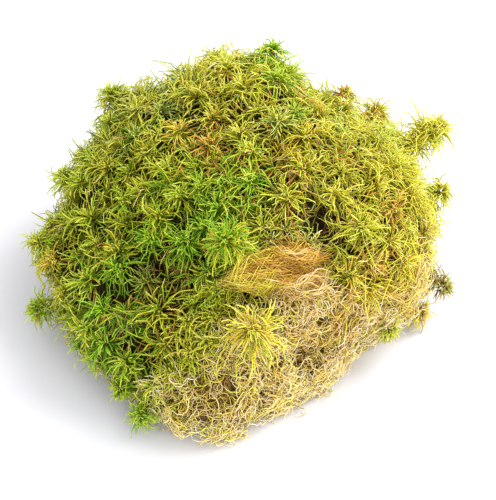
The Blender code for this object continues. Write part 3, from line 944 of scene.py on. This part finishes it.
def grow_heads(bundle, centres, axes, reaches, tones, width, stream, light=1.0, rows=BUNCHES, odd=0.3,
               loose=1.0, strand=BRANCH, drop=0.35):
    """Adds the branches of star heads to a bundle. The branches of a bunch start together."""
    first, second = axes_across(axes)
    heads = len(centres)
    open_wide = stream.uniform(0.8, 1.15, (heads, 1))
    for number, polar, share, curl, out, up in rows:
        bunch_turn = (np.arange(number) + stream.normal(0, BUNCH_TURN * loose, (heads, number))) / number
        bunch_turn = (bunch_turn + stream.random((heads, 1))) * math.tau
        bunch_tilt = polar * open_wide + stream.normal(0, BUNCH_TILT * loose, (heads, number))
        count = heads * number * BRANCHES_EACH
        owner = np.repeat(np.arange(heads), number * BRANCHES_EACH)
        turn = np.repeat(bunch_turn.ravel(), BRANCHES_EACH) + stream.normal(0, BRANCH_TURN, count)
        tilt = np.repeat(bunch_tilt.ravel(), BRANCHES_EACH) + stream.normal(0, BRANCH_TILT, count)
        tilt = np.radians(np.clip(tilt, 2, 120))[:, None]
        radial = np.cos(turn)[:, None] * first[owner] + np.sin(turn)[:, None] * second[owner]
        axis = axes[owner]
        direction = np.cos(tilt) * axis + np.sin(tilt) * radial
        bend = -np.sin(tilt) * axis + np.cos(tilt) * radial
        swing = stream.normal(0, BEND_SWING * loose, count)[:, None]
        bend = np.cos(swing) * bend + np.sin(swing) * np.cross(direction, bend)
        turned = np.where(stream.random(count) < CURLED_BACK, BACK_CURL, 1.0)
        length = reaches[owner] * share * np.exp(stream.normal(0, LENGTH_SPREAD, count))
        start = centres[owner] + radial * out * MM + axis * up * MM
        lines, cross = arcs(
            start, direction, bend, length, curl * turned * stream.uniform(0.4, 1.7, count), strand,
            power=1.5, sway=stream.normal(0, 0.3 * loose, count), drop=drop)
        strange = stream.random(count) < odd
        tone = np.where(strange, tone_picks(centres[owner], stream), tones[owner])
        tone += stream.normal(0, 0.012, count)
        # The light each head is given sets how far its branches run towards their pale tips: a paleness of
        # its own and, for most heads, painted light and shade by place
        bright = np.broadcast_to(light, (heads,))[owner]
        low = np.clip(stream.normal(0.52 if share < 0.6 else 0.1, 0.08, count), 0.0, 0.7)
        high = np.clip(stream.normal(0.86, 0.13, count) * bright, 0.2, 0.99)
        wide = np.broadcast_to(width, (heads,))[owner] / 2 * stream.uniform(0.72, 1.15, count)
        bundle.add(lines, cross, wide, tone, low, high)


def walks(starts, normals, way, strides, turns, drifts, heights):
    """Centrelines of threads that wander over the skin at the given heights above it."""
    lines = np.zeros((*heights.shape, 3))
    across = np.zeros_like(lines)
    at, out = starts.copy(), normals.copy()
    for k in range(heights.shape[1]):
        for i, place in enumerate(at):
            at[i], out[i] = skin().nearest(place)
        lines[:, k] = at + out * heights[:, k, None]
        across[:, k] = out
        angle = (turns + drifts[:, k])[:, None]
        way = square_to(out, way)
        way = np.cos(angle) * way + np.sin(angle) * np.cross(out, way)
        at = at + way * strides[:, None]
    return lines, across


class MOSS_OT_hearts(bpy.types.Operator):
    """Dark litter inside the cushion and the stems, seen between the branches: dead stems, painted dark as
    painted shade in the gaps
    """

    bl_idname = "moss.hearts"
    bl_label = "Dark hearts"

    def execute(self, context):
        for node, (name, slot, colours) in LITTER_AND_SHADE.items():
            piece = melted(name, (node,), *HEART_MESH)
            self.draw_in(piece.data, context.scene.moss_sizes.heart_depth)
            piece.data.shade_smooth()
            stops = [(place, linear(colour)) for place, colour in zip((0.3, 0.55, 0.75), colours)]
            finish = grained_material(name, 0.9, 0.1, 420, stops, 6, 0.7, (1.0, 1.0 * MM))
            hand_over(piece, finish, slot, node)
        return {"FINISHED"}

    @staticmethod
    def draw_in(mesh, depth):
        """Moves a surface inwards and gives it a broken relief, and keeps its underside flat."""
        points = np.array([v.co for v in mesh.vertices])
        deeper = GAP_DEPTH * np.exp(-(gap_share(points) ** 2) * 0.5)
        for vertex, more in zip(mesh.vertices, deeper):
            place = vertex.co.copy()
            hit, outside = skin().nearest(place)
            gap = (hit - place).length
            rough = noise.noise(place * LUMP_SCALE) * LUMP_HEIGHT
            vertex.co = place - outside * max(depth + rough + more - gap, 0)
            vertex.co.z = max(vertex.co.z, HEART_FOOT)
        mesh.update()


class MOSS_OT_living_moss(bpy.types.Operator):
    """Star heads over the whole cushion, with limp side branches and threads between them"""

    bl_idname = "moss.living_moss"
    bl_label = "Living moss"

    def execute(self, context):
        sizes = context.scene.moss_sizes
        stream = random_stream("moss")
        places, normals = skin().spots()
        living = torn_share(places) < LIVING_EDGE
        places, normals = places[living], normals[living]
        # The stars of the photograph come first, then others wherever there is room
        stars = [(*seen_spot(across, down), reach, tone_u(tone)) for across, down, reach, tone in STARS]
        star_places, star_axes, star_reach, star_tones = (np.array(column) for column in zip(*stars))
        order = stream.permutation(len(places))
        behind = normals @ np.array(CAMERA_SIDE) < -0.1
        spacing = sizes.head_spacing * np.where(behind, BACK_SPACING, 1.0)
        clear = (apart(places, self.tuft_line()) > TUFT_BERTH) & (gap_share(places) > GAP_BERTH)
        clear &= apart(places, star_places) > sizes.head_spacing * STAR_BERTH
        order = order[clear[order]]
        taken = spaced(places, spacing * stream.uniform(0.85, 1.3, len(places)), order)
        taken = taken[stream.random(len(taken)) > self.curly_share(places[taken]) * 0.6]
        bundle, others, under = Bundle(), Bundle(), Bundle()
        at_edge = star_axes @ np.array(CAMERA_SIDE) < 0.3
        sunk = stream.uniform(*STAR_SINK, len(stars)) + EDGE_SINK * at_edge
        star_reach = star_reach * np.where(at_edge, 0.85, 1)
        # The stars' tips take painted light and shade by place, times a paleness of their own
        star_light = stream.uniform(0.9, 1.1, len(stars)) * self.painted_light(star_places)
        star_axes = unit(star_axes + (0, -0.1, 0.4))
        grow_heads(
            bundle, star_places - star_axes * sunk[:, None] * MM, star_axes, star_reach * MM, star_tones,
            sizes.branch_width * (1 - 0.2 * self.curly_share(star_places)), stream, light=star_light,
            odd=0.42, loose=1.25)
        centres = places[taken]
        axes = unit(normals[taken] + (0, 0, 0.35) + unit(stream.normal(0, 1, centres.shape)) * 0.4)
        reach = sizes.branch_length * np.clip(np.exp(stream.normal(-0.04, 0.22, len(centres))), 0.6, 1.25)
        short = self.short_share(centres)
        reach *= np.clip(centres[:, 2] / TABLE_ZONE, 0.5, 1) * (1 - 0.4 * short)
        sink = stream.uniform(*HEAD_SINK, len(centres)) + TABLE_SINK * self.near_table(centres)
        sink += SHORT_SINK * short
        thin = sizes.branch_width * (1 - 0.25 * self.curly_share(centres))
        tones = tone_picks(centres, stream)
        # The heads' tips take painted light and shade by place, times a paleness of their own
        light = stream.uniform(0.8, 1.15, len(centres)) * self.painted_light(centres)
        grow_heads(
            others, centres - normals[taken] * sink[:, None] * MM, axes, reach, tones, thin, stream,
            light=light, rows=THIN_BUNCHES, odd=0.4, loose=1.3, strand=UNDER_BRANCH)
        # Smaller, darker heads fill the gaps between the others
        left = np.setdiff1d(order, taken)
        away = apart(places[left], np.concatenate([centres, star_places]))
        gaps = stream.permutation(left[away > spacing[left] * LOW_BERTH])
        gaps = gaps[spaced(places[gaps], spacing[gaps] * LOW_SPACING, np.arange(len(gaps)))]
        sink = LOW_SINK + LOW_TABLE_SINK * self.near_table(places[gaps])
        low_centres = places[gaps] - normals[gaps] * sink[:, None] * MM
        low_axes = unit(normals[gaps] + unit(stream.normal(0, 1, low_centres.shape)) * 0.6)
        grow_heads(
            under, low_centres, low_axes, np.full(len(gaps), sizes.branch_length * 0.85),
            tone_picks(low_centres, stream), sizes.branch_width * 0.9, stream, light=0.6,
            rows=LOW_BUNCHES, odd=0.4, strand=UNDER_BRANCH)
        self.limp_branches(under, places, normals, sizes, stream)
        self.split(bundle, "star_moss", BRANCH)
        self.split(others, "moss", UNDER_BRANCH)
        self.split(under, "under_moss", UNDER_BRANCH)
        self.threads(places, normals, stream)
        return {"FINISHED"}

    @staticmethod
    def painted_light(points):
        """Painted light and shade on the tips of the heads: paler at the back of the top, dimmer in front.
        """
        light = 1 + 0.2 * np.clip(points[:, 1] / (50 * MM), 0, 1)
        for middle, radius, change in PAINTED_LIGHTS:
            light += change * nearness(points, (middle, (radius, radius, radius)))
        return light

    @staticmethod
    def short_share(points):
        """How near each point is to the left edge or the front left corner, where the heads are short."""
        edge = np.clip((LEFT_EDGE - points[:, 0] / MM) / LEFT_FADE, 0, 1)
        return np.maximum(edge, nearness(points, SHORT_CORNER))

    @staticmethod
    def near_table(points):
        """How near each point is to the table: 1 on it, 0 above the lowest heads."""
        return np.clip(1 - points[:, 2] / TABLE_ZONE, 0, 1)

    @staticmethod
    def curly_share(points):
        """Where curly threads hide the heads: the right of the top and the right side."""
        return np.clip(1.5 * nearness(points, CURLY_SIDE), 0, 1)

    @staticmethod
    def tuft_line():
        """Points along the middle of the dry tuft."""
        return np.linspace(*solid_line("dry_tuft"), 9)

    def limp_branches(self, bundle, places, normals, sizes, stream):
        """Duller branches that hang and cross under the heads."""
        count = LIMP_COUNT
        pick = stream.integers(0, len(places), count)
        deep = gap_share(places[pick]) < 1
        base, out = places[pick], normals[pick]
        start = base - out * stream.uniform(2.5, 6.5, count)[:, None] * MM
        start += stream.normal(0, 1.0, (count, 3)) * MM
        flat = square_to(out, stream.normal(0, 1, (count, 3)) + (0, 0, -0.6))
        direction = unit(flat + out * stream.uniform(0.0, 1.3, count)[:, None])
        bend = square_to(direction, -out * 0.9 + stream.normal(0, 0.6, (count, 3)))
        short = np.clip(base[:, 2] / TABLE_ZONE, 0.5, 1) * (1 - 0.4 * self.short_share(base))
        lines, cross = arcs(
            start, direction, bend, sizes.branch_length * stream.uniform(0.7, 1.5, count) * short,
            stream.uniform(0.8, 3.2, count), UNDER_BRANCH, sway=stream.normal(0, 0.5, count), drop=0.3)
        tone = tone_picks(start, stream)
        # Some are dead, and all in the gaps are brown, a few rust, and end short of their pale tips: dead
        # stems, painted dark as painted shade in the gaps
        dead = stream.random(count)
        for most, name in ((0.34, "dull"), (0.18, "straw"), (0.11, "rust"), (0.07, "brown")):
            tone = np.where(dead < most, tone_u(name), tone)
        tone = np.where(deep, np.where(dead < 0.2, tone_u("rust"), tone_u("brown")), tone)
        bundle.add(
            lines, cross, stream.uniform(0.18, 0.32, count) * MM, tone + stream.normal(0, 0.02, count), 0.05,
            np.where(deep, 0.2, stream.uniform(0.4, 0.95, count)))

    def threads(self, places, normals, stream):
        """Thin curly threads that wander over the heads, most of them on the yellow side."""
        count = THREAD_LOCKS * THREADS_EACH + LONE_THREADS
        groups = THREAD_LOCKS + LONE_THREADS
        lock = np.repeat(np.arange(groups), [THREADS_EACH] * THREAD_LOCKS + [1] * LONE_THREADS)
        from_fringe = apart(places, between_spots(FRINGE))
        low_right = nearness(places, CURLY_LOW)
        pull = 0.1 + 1.8 * self.curly_share(places) + 1.8 * np.exp(-((from_fringe / FRINGE_WIDTH) ** 2))
        pull = (pull + 3.0 * low_right) * np.clip(gap_share(places) - 0.4, 0.02, 1)
        pick = stream.choice(len(places), groups, p=pull / pull.sum())[lock]
        starts = places[pick] + stream.normal(0, 0.8, (count, 3)) * MM
        way = square_to(normals[pick], in_locks(stream, lock, 1.0, 0.2, (3,)))
        share = np.linspace(0, 1, THREAD.rings)
        low = stream.uniform(-3.4, 0.3, groups)[lock][:, None]
        high = (stream.gamma(2.2, 0.9, groups)[lock] * stream.uniform(0.7, 1.3, count))[:, None]
        heights = low + high * np.sin(share * math.pi * stream.uniform(0.5, 1.0, count)[:, None])
        # The arcs at the back left stand up, clear of the heads
        loose = from_fringe[pick] < FRINGE_WIDTH
        heights += (loose * stream.uniform(0, 5.5, count))[:, None] * np.sin(share * math.pi)
        # Combed strands run down over the seam in front
        flow = between_spots(FLOW)
        combed = COMBED_THREADS
        pick[:combed] = stream.choice(np.flatnonzero(apart(places, flow) < FLOW_WIDTH), combed)
        down = stream.normal(0, 0.45, (combed, 3)) + unit(flow[-1] - flow[0])
        way[:combed] = square_to(normals[pick[:combed]], down)
        heights[:combed] = stream.uniform(-1.5, 1.6, combed)[:, None] + np.sin(share * math.pi)
        turn = in_locks(stream, lock, 0.42, 0.12)
        turn[:combed] *= 0.4
        starts[:combed] = places[pick[:combed]]
        lines, across = walks(
            starts, normals[pick], way, stream.uniform(0.9, 2.0, groups)[lock] * MM, turn,
            stream.normal(0, 0.2, (count, THREAD.rings)), heights * MM)
        drawn = any_tone(
            stream, count, "yellow lime straw olive cream orange", (0.26, 0.36, 0.08, 0.18, 0.02, 0.1))
        own = tone_picks(places[pick], stream)
        tone = np.where(stream.random(groups)[lock] < 0.5, drawn[lock], own)
        creamy = stream.random(count) < low_right[pick] * 0.8
        tone = np.where(creamy, any_tone(stream, count, "cream straw"), tone)
        tone[:combed] = any_tone(stream, combed, "lime yellow grass straw", (0.4, 0.26, 0.18, 0.16))
        bundle = Bundle()
        bundle.add(
            lines, across, stream.uniform(0.15, 0.26, count) * MM, tone + stream.normal(0, 0.014, count),
            stream.uniform(0.2, 0.5, count), stream.uniform(0.65, 0.99, count))
        bundle.piece("curly_threads", THREAD, "living_branches", "living_moss")

    @staticmethod
    def split(bundle, kind, strand):
        """Makes one piece of the strands, or one for each side that they grow on where they are many."""
        roots = bundle.roots()
        if len(roots) * strand.triangles < PIECE_TRIANGLES:
            bundle.piece(kind, strand, "living_branches", "living_moss")
            return
        middles = np.array(list(SIDES.values()), float) * MM
        home = np.linalg.norm(roots[:, None] - middles, axis=2).argmin(1)
        for i, side in enumerate(SIDES):
            bundle.piece(f"{kind}_{side}", strand, "living_branches", "living_moss", keep=home == i)


class MOSS_OT_bleached_stems(bpy.types.Operator):
    """The tangle of limp pale stems on the torn side"""

    bl_idname = "moss.bleached_stems"
    bl_label = "Bleached stems"

    def execute(self, context):
        sizes = context.scene.moss_sizes
        stream = random_stream("stems")
        places, normals = skin().spots()
        torn = torn_share(places)
        coarse, fine = (np.array([noise.noise(Vector(p / size)) for p in places]) for size in SWELL_SIZES)
        lumps = fine + 0.9 * coarse
        chosen = np.flatnonzero(torn > STEMS_EDGE)
        rim = np.flatnonzero((places[:, 2] < RIM_HEIGHT) & (torn <= STEMS_EDGE))
        weight = np.clip(0.8 + 1.1 * lumps[chosen], 0.3, 1.5) * (gap_share(places[chosen]) > 1)
        weight /= weight.sum()
        # Most stems lie in locks, whose stems run together
        locks = int(sizes.stem_count * LOCK_SHARE / LOCK_STEMS)
        starts = stream.choice(chosen, locks, p=weight)
        lone = stream.choice(chosen, int(sizes.stem_count * (1 - LOCK_SHARE)), p=weight)
        edge = stream.choice(rim, sizes.stem_count // 12)
        pick = np.concatenate([np.repeat(starts, LOCK_STEMS), lone, edge])
        lone_locks = locks + np.arange(len(lone) + len(edge))
        lock = np.concatenate([np.repeat(np.arange(locks), LOCK_STEMS), lone_locks])
        count, groups = len(pick), lock[-1] + 1
        at, out = places[pick] + stream.normal(0, 1.1, (count, 3)) * MM, normals[pick]
        upper = nearness(at, UPPER_STEMS)
        flow = np.array([-0.3, -0.1, -0.4]) + upper[:, None] * np.array([-1.6, -0.4, -1.0])
        way = square_to(out, in_locks(stream, lock, 1.0, 0.25, (3,)) + flow)
        share = np.linspace(0, 1, THREAD.rings)
        depth = np.clip(in_locks(stream, lock, 1.1, 0.8), -2.6, 2.6) - 0.9
        depth += np.clip(lumps[pick] * 4.2, -2.4, 2.4)
        rise = stream.gamma(2.0, 0.6, count)
        phase = stream.uniform(0, math.tau, groups)[lock][:, None]
        bends = stream.uniform(2.0, 4.5, groups)[lock][:, None]
        heights = (depth[:, None] + rise[:, None] * np.sin(phase + share * bends)) * MM
        strides = stream.uniform(0.7, 1.7, count) * MM
        turns = in_locks(stream, lock, 0.36, 0.3) * (1 - 0.65 * upper)
        lines, across = walks(
            at, out, way, strides, turns, stream.normal(0, 0.55, (count, THREAD.rings)), heights)
        # Where a stem passes a gap it dives into it
        dive = np.exp(-(gap_share(lines.reshape(-1, 3)).reshape(count, -1) ** 2))
        lines -= across * (dive * 4.5 * MM)[..., None]

        names, odds = "straw cream tan gold yellow orange", (0.46, 0.3, 0.08, 0.09, 0.05, 0.02)
        tone = any_tone(stream, groups, names, odds)[lock]
        odd = any_tone(stream, count, names, odds)
        tone = np.where(stream.random(count) < 0.3, odd, tone)
        # Yellower at the front foot, brown in the upper right and paler on the right
        foot = nearness(at, FOOT_STEMS)
        yellow = stream.random(count) < 0.4 * foot
        tone = np.where(yellow, any_tone(stream, count, "yellow gold"), tone)
        brown = stream.random(count) < 0.75 * upper
        tone = np.where(brown, any_tone(stream, count, "orange gold tan"), tone)
        pale = stream.random(count) < 0.7 * nearness(at, PALE_STEMS)
        tone = np.where(pale, any_tone(stream, count, "cream straw"), tone)
        # Deep stems are darker and some of them brown: partly dead stems, partly painted shade under the
        # stems above
        bright = np.clip((depth + 3.4) / 4.0, 0, 1)
        tone = np.where(stream.random(count) < 0.35 * (1 - bright) ** 2, tone_u("brown"), tone)
        # Pale stems are lighter and those in the upper right darker; at the front foot the stems are painted
        # lighter: painted light
        bright = np.where(pale, bright + 0.25, bright - 0.35 * upper + 0.3 * foot)
        low = np.clip(0.14 + 0.62 * bright + stream.normal(0, 0.12, count), 0.02, 0.8)
        high = np.clip(low + stream.normal(0.34, 0.16, count), 0.08, 0.99)
        bundle = Bundle()
        bundle.add(
            lines, across, sizes.stem_width / 2 * stream.uniform(0.6, 1.35, count),
            tone + stream.normal(0, 0.014, count), low, high)
        self.fluff(bundle, places, normals, stream)
        bundle.piece("bleached_tangle", THREAD, "limp_stems", "bleached_stems")
        return {"FINISHED"}

    @staticmethod
    def fluff(bundle, places, normals, stream):
        """Short pale curls under the tuft."""
        count = FLUFF_COUNT
        away = np.linalg.norm((places - seen_spot(*FLUFF)[0]) * FLUFF_STRETCH, axis=1)
        pick = stream.choice(np.flatnonzero(away < FLUFF_RADIUS), count)
        way = square_to(normals[pick], stream.normal(0, 1, (count, 3)))
        share = np.linspace(0, 1, THREAD.rings)
        heights = (stream.uniform(0, 2.4, count)[:, None] + 1.2 * np.sin(share * math.pi)) * MM
        lines, across = walks(
            places[pick] + stream.normal(0, 0.8, (count, 3)) * MM, normals[pick], way,
            stream.uniform(0.6, 1.5, count) * MM, stream.normal(0, 0.45, count),
            stream.normal(0, 0.35, (count, THREAD.rings)), heights)
        tone = any_tone(stream, count, "cream straw yellow", (0.6, 0.3, 0.1))
        wide = stream.uniform(0.16, 0.26, count) * MM
        bundle.add(lines, across, wide, tone, 0.45, stream.uniform(0.7, 0.98, count))


class MOSS_OT_dry_tuft(bpy.types.Operator):
    """The combed tuft of dry tan moss over the torn edge"""

    bl_idname = "moss.dry_tuft"
    bl_label = "Dry tuft"

    def execute(self, context):
        stream = random_stream("tuft")
        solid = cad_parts["dry_tuft"].data
        tree = BVHTree.FromPolygons([v.co for v in solid.vertices], [p.vertices for p in solid.polygons])
        right, left = solid_line("dry_tuft")
        long = np.linalg.norm(left - right)
        ahead = (left - right) / long
        up = square_to(ahead, np.array(TUFT_UP))
        over = np.cross(ahead, up)
        count = TUFT_LOCKS * FIBRES_EACH
        lock = np.repeat(np.arange(TUFT_LOCKS), FIBRES_EACH)
        share = np.linspace(-0.5, 0.5, FIBRE.rings)
        # Each lock has a middle, a length and a slant of its own, and its fibres nearly share them
        middle = (0.12 + 0.76 * stream.beta(1.2, 1.2, TUFT_LOCKS))[lock] + stream.normal(0, 0.03, count)
        lane = stream.uniform(-1, 0.7, TUFT_LOCKS)[lock] + stream.normal(0, 0.12, count)
        # Under its left half the tuft is open, and its lower edge there is bright
        lower_left = (lane < 0) & (middle > 0.42)
        lane = np.where(lower_left, lane * 0.5, lane)
        length = stream.uniform(11, 20, TUFT_LOCKS)[lock] * stream.uniform(0.7, 1.2, count)
        slant = np.radians(4 + in_locks(stream, lock, 22, 16))
        curve = in_locks(stream, lock, 4.4, 2.6)
        own_phase = stream.uniform(0, math.tau, count)[:, None]
        ripple = stream.normal(0, 0.5, count)[:, None] * np.sin(share * 11 + own_phase)
        t = middle[:, None] + share * (length * np.cos(slant))[:, None] * MM / long
        half = np.interp(t, TUFT_PLACES, TUFT_HALVES)
        aside = share * (length * np.sin(slant))[:, None] + curve[:, None] * (4 * share**2 - 0.5) + ripple
        sideways = lane[:, None] * half + aside * np.clip(half / 7, 0.2, 1)
        off_along, off_across = (t - HOLLOW_ALONG) / HOLLOW_LONG, (sideways - HOLLOW_ACROSS) / HOLLOW_WIDE
        hollow = np.exp(-(off_along**2) - off_across**2)
        level = (stream.gamma(1.5, 0.9, TUFT_LOCKS) - 1.4)[lock] + stream.normal(0, 0.6, count)
        arch = stream.uniform(0.0, 2.4, TUFT_LOCKS)[lock]
        lift = level[:, None] + arch[:, None] * np.cos(share * math.pi) - HOLLOW_DEPTH * hollow
        lift += stream.normal(0, 0.7, count)[:, None] * np.sin(share * 9 + own_phase * 3)
        rough = right + ahead * (t * long)[..., None] + over * (sideways * MM)[..., None]
        lines = np.zeros_like(rough)
        for i, k in np.ndindex(t.shape):
            spot = Vector(rough[i, k])
            hit = tree.ray_cast(Vector(rough[i, k] + up * TUFT_ABOVE), Vector(-up))[0]
            if hit is None:
                near = tree.find_nearest(spot)[0]
                hit = spot + Vector(up) * (near - spot).dot(Vector(up)) * 0.8
            lines[i, k] = np.array(hit) + up * lift[i, k] * MM
        left_tones = any_tone(stream, TUFT_LOCKS, "gold yellow orange", (0.62, 0.3, 0.08))
        right_tones = any_tone(stream, TUFT_LOCKS, "straw gold orange tan", (0.24, 0.44, 0.2, 0.12))
        tone = np.where(middle + stream.normal(0, 0.08, count) > 0.4, left_tones[lock], right_tones[lock])
        # The lower edge on the right is pale
        pale = (sideways.mean(1) < -3.5) & (middle < 0.5) & (stream.random(count) < 0.7)
        tone = np.where(pale, any_tone(stream, count, "cream straw"), tone)
        tone = np.where(lower_left & (lane < -0.25) & (stream.random(count) < 0.6), tone_u("yellow"), tone)
        # The fibres in the hollow are orange and painted darker: painted shade in the hollow
        painted_shade = hollow.max(1)
        tone = np.where((painted_shade > 0.6) & (stream.random(count) < 0.8), tone_u("orange"), tone)
        bundle = Bundle()
        # Higher fibres are painted lighter and lower ones darker, those in the hollow darker still: painted
        # light and shade
        bundle.add(
            lines, up, stream.uniform(0.13, 0.24, count) * MM, tone + stream.normal(0, 0.012, count),
            np.clip(0.34 + 0.1 * lift[:, 3] + stream.normal(0, 0.1, count) - 0.2 * painted_shade, 0.02, 0.7),
            stream.uniform(0.42, 1.1, count) - 0.35 * painted_shade)
        bundle.piece("dry_tuft_fibres", FIBRE, "dry_fibres", "dry_tan_moss", "dry_tuft")
        return {"FINISHED"}


class MOSS_OT_plants(bpy.types.Operator):
    """The plants that stand clear of the mass"""

    bl_idname = "moss.plants"
    bl_label = "Single plants"

    def execute(self, context):
        sizes = context.scene.moss_sizes
        stream = random_stream("plants")
        for node, (first, second) in PLANTS.items():
            centre, axis, reach = plant_shape(node)
            root, outside = skin().nearest(centre)
            droop = node == "drooping_plant"
            axis = unit(np.array([DROOPING_AXIS if droop else axis], float))
            bundle = Bundle()
            dim = PLANT_LIGHT.get(node, 1.0)
            for tone, light in ((first, dim), (second, 0.95 * dim)):
                grow_heads(
                    bundle, centre[None], axis, np.array([reach * 0.95]), np.array([tone_u(tone)]),
                    sizes.branch_width * (1.05 if droop else 0.9), stream, light=light, odd=0.2,
                    drop=DROOPING_DROP if droop else PLANT_DROP)
            if reach > BUSHY_REACH and not droop:
                # A big head is a bush of several
                aside = square_to(np.repeat(axis, 3, 0), stream.normal(0, 1, (3, 3)))
                grow_heads(
                    bundle, centre + (aside * 0.5 - axis * 0.35) * reach, unit(axis + aside * 0.8),
                    np.full(3, reach * 0.7), tone_u(second) + stream.normal(0, 0.03, 3), sizes.branch_width,
                    stream, light=0.9, odd=0.4, drop=0.6, rows=LOW_BUNCHES)
            foot = np.array(root) - np.array(outside) * 2 * MM
            stalk = np.linalg.norm(centre - foot)
            if stalk > LONG_STEM:
                # A long stem carries more branches half way
                places = centre + (foot - centre) * np.array([[0.3], [0.6], [0.9]])
                grow_heads(
                    bundle, places, unit(axis + stream.normal(0, 0.5, (3, 3))),
                    np.full(3, sizes.branch_length * 1.25), tone_u(first) + stream.normal(0, 0.02, 3),
                    sizes.branch_width * 0.9, stream, light=1.15, odd=0.2, drop=0.1, loose=1.5)
            # Hanging branches round the stem, from the head down into the mass
            count = int(40 + 12 * max(stalk / MM - 5, 0))
            along = stream.uniform(0.02, 1.15, count)[:, None]
            start = centre + (foot - centre) * along + stream.normal(0, 1.2, (count, 3)) * MM * along
            stem = np.repeat(unit((centre - foot)[None]), count, 0)
            side = square_to(stem, stream.normal(0, 1, (count, 3)))
            direction = unit(side + stem * stream.uniform(-0.5, 0.6, count)[:, None])
            lengths = sizes.branch_length * stream.uniform(0.45, 0.9, count) * (1 + 0.5 * along[:, 0])
            lines, cross = arcs(
                start, direction, square_to(direction, -stem), lengths, stream.uniform(0.1, 1.8, count),
                BRANCH, sway=stream.normal(0, 0.45, count), drop=0.3)
            bundle.add(
                lines, cross, sizes.branch_width / 2 * 0.85, tone_u(second) + stream.normal(0, 0.02, count),
                0.3 if stalk > LONG_STEM else 0.05, stream.uniform(0.55, 0.9, count))
            lines, cross = arcs(
                foot[None], stem[:1], side[:1], np.array([stalk]), np.array([0.1]), BRANCH)
            bundle.add(lines, cross, 0.5 * MM, tone_u("olive"), 0.1, 0.5)
            slot = "green_plant" if node in GREEN_PLANTS else "yellow_plant"
            bundle.piece(node + "_branches", BRANCH, "living_branches", slot, node)
        return {"FINISHED"}


class MOSS_OT_twig(bpy.types.Operator):
    """The short dark twig caught in the stems"""

    bl_idname = "moss.twig"
    bl_label = "Twig"

    def execute(self, context):
        end, start = (Vector(point) for point in solid_line("twig"))
        step = (end - start).length / TWIG_STEPS
        bm = bmesh.new()
        bmesh.ops.create_circle(bm, segments=TWIG_SIDES, radius=TWIG_RADIUS * 0.7)
        first = ring = list(bm.edges)
        for k in range(1, TWIG_STEPS + 1):
            verts, ring = extruded(bm, ring)
            bmesh.ops.translate(bm, vec=(0, 0, step), verts=verts)
            if k == 1:
                bmesh.ops.scale(bm, vec=(1.4, 1.4, 1), verts=verts)
            sway = (0.2 * MM * math.sin(k * 0.9), 0.16 * MM * math.cos(k * 1.3), 0)
            bmesh.ops.translate(bm, vec=sway, verts=verts)
        for ends in (ring, first):
            bmesh.ops.contextual_create(bm, geom=ends)
        bmesh.ops.recalc_face_normals(bm, faces=bm.faces)
        for v in bm.verts:
            v.co.x *= 1 + 0.2 * noise.noise(v.co * 900)
        bmesh.ops.transform(bm, matrix=facing(start, (end - start).normalized()), verts=bm.verts)
        stops = [(place, linear(colour)) for place, colour in zip((0.35, 0.55, 0.72), BARK)]
        finish = grained_material("peeling_bark", 0.85, 0.2, 900, stops, detail=5, relief=(0.8, 0.2 * MM))
        hand_over(object_of(bm, "twig_bark"), finish, "twig_bark", "twig")
        return {"FINISHED"}


class MOSS_OT_stage(bpy.types.Operator):
    """The table, the lights and the camera"""

    bl_idname = "moss.stage"
    bl_label = "Stage"

    def execute(self, context):
        scene = context.scene
        stage = scene.moss_stage
        bm = bmesh.new()
        bmesh.ops.create_grid(bm, x_segments=FLOOR_CELLS, y_segments=FLOOR_CELLS, size=FLOOR_REACH)
        floor = object_of(bm, "table_top")
        pale = (*stage.floor_colour, 1)
        dim = (*(0.97 * c for c in stage.floor_colour), 1)
        floor.data.materials.append(grained_material("table_top", 0.6, 0.2, 14, [(0.3, dim), (0.7, pale)]))

        scene.world = bpy.data.worlds.new("studio")
        scene.world.use_nodes = True
        back = scene.world.node_tree.nodes["Background"]
        back.inputs["Color"].default_value = (1, 1, 1, 1)
        back.inputs["Strength"].default_value = SKY
        for name, way, size, power in LAMPS:
            lamp = bpy.data.objects.new(name, bpy.data.lights.new(name, "AREA"))
            lamp.data.size = size
            lamp.data.energy = power
            away = Vector(way).normalized()
            lamp.matrix_world = facing(away * LAMP_DISTANCE + LAMP_TARGET, away)
            scene.collection.objects.link(lamp)

        camera = bpy.data.objects.new("camera", bpy.data.cameras.new("camera"))
        camera.data.lens = stage.lens
        camera.data.sensor_width = SENSOR_WIDTH
        camera.data.clip_start = NEAREST_SEEN
        camera.matrix_world = camera_view(stage)
        scene.collection.objects.link(camera)
        scene.camera = camera
        scene.view_settings.view_transform = "Standard"
        return {"FINISHED"}


OPERATORS = (
    MOSS_OT_hearts,
    MOSS_OT_living_moss,
    MOSS_OT_bleached_stems,
    MOSS_OT_dry_tuft,
    MOSS_OT_plants,
    MOSS_OT_twig,
    MOSS_OT_stage,
)


class MOSS_PT_panel(bpy.types.Panel):
    """Sizes and steps of the moss clump"""

    bl_idname = "MOSS_PT_panel"
    bl_label = "Moss clump"
    bl_space_type = "VIEW_3D"
    bl_region_type = "UI"
    bl_category = "Moss"

    def draw(self, context):
        for group in (context.scene.moss_sizes, context.scene.moss_stage):
            box = self.layout.box()
            for name in group.__annotations__:
                box.prop(group, name)
        for operator in OPERATORS:
            self.layout.operator(operator.bl_idname)


CLASSES = (MossSizes, MossStage, *OPERATORS, MOSS_PT_panel)


def register():
    for item in CLASSES:
        bpy.utils.register_class(item)
    bpy.types.Scene.moss_sizes = PointerProperty(type=MossSizes)
    bpy.types.Scene.moss_stage = PointerProperty(type=MossStage)


def unregister():
    del bpy.types.Scene.moss_stage
    del bpy.types.Scene.moss_sizes
    for item in reversed(CLASSES):
        bpy.utils.unregister_class(item)


def main():
    register()
    for operator in OPERATORS:
        group, name = operator.bl_idname.split(".")
        getattr(getattr(bpy.ops, group), name)()


if __name__ == "__main__":
    main()
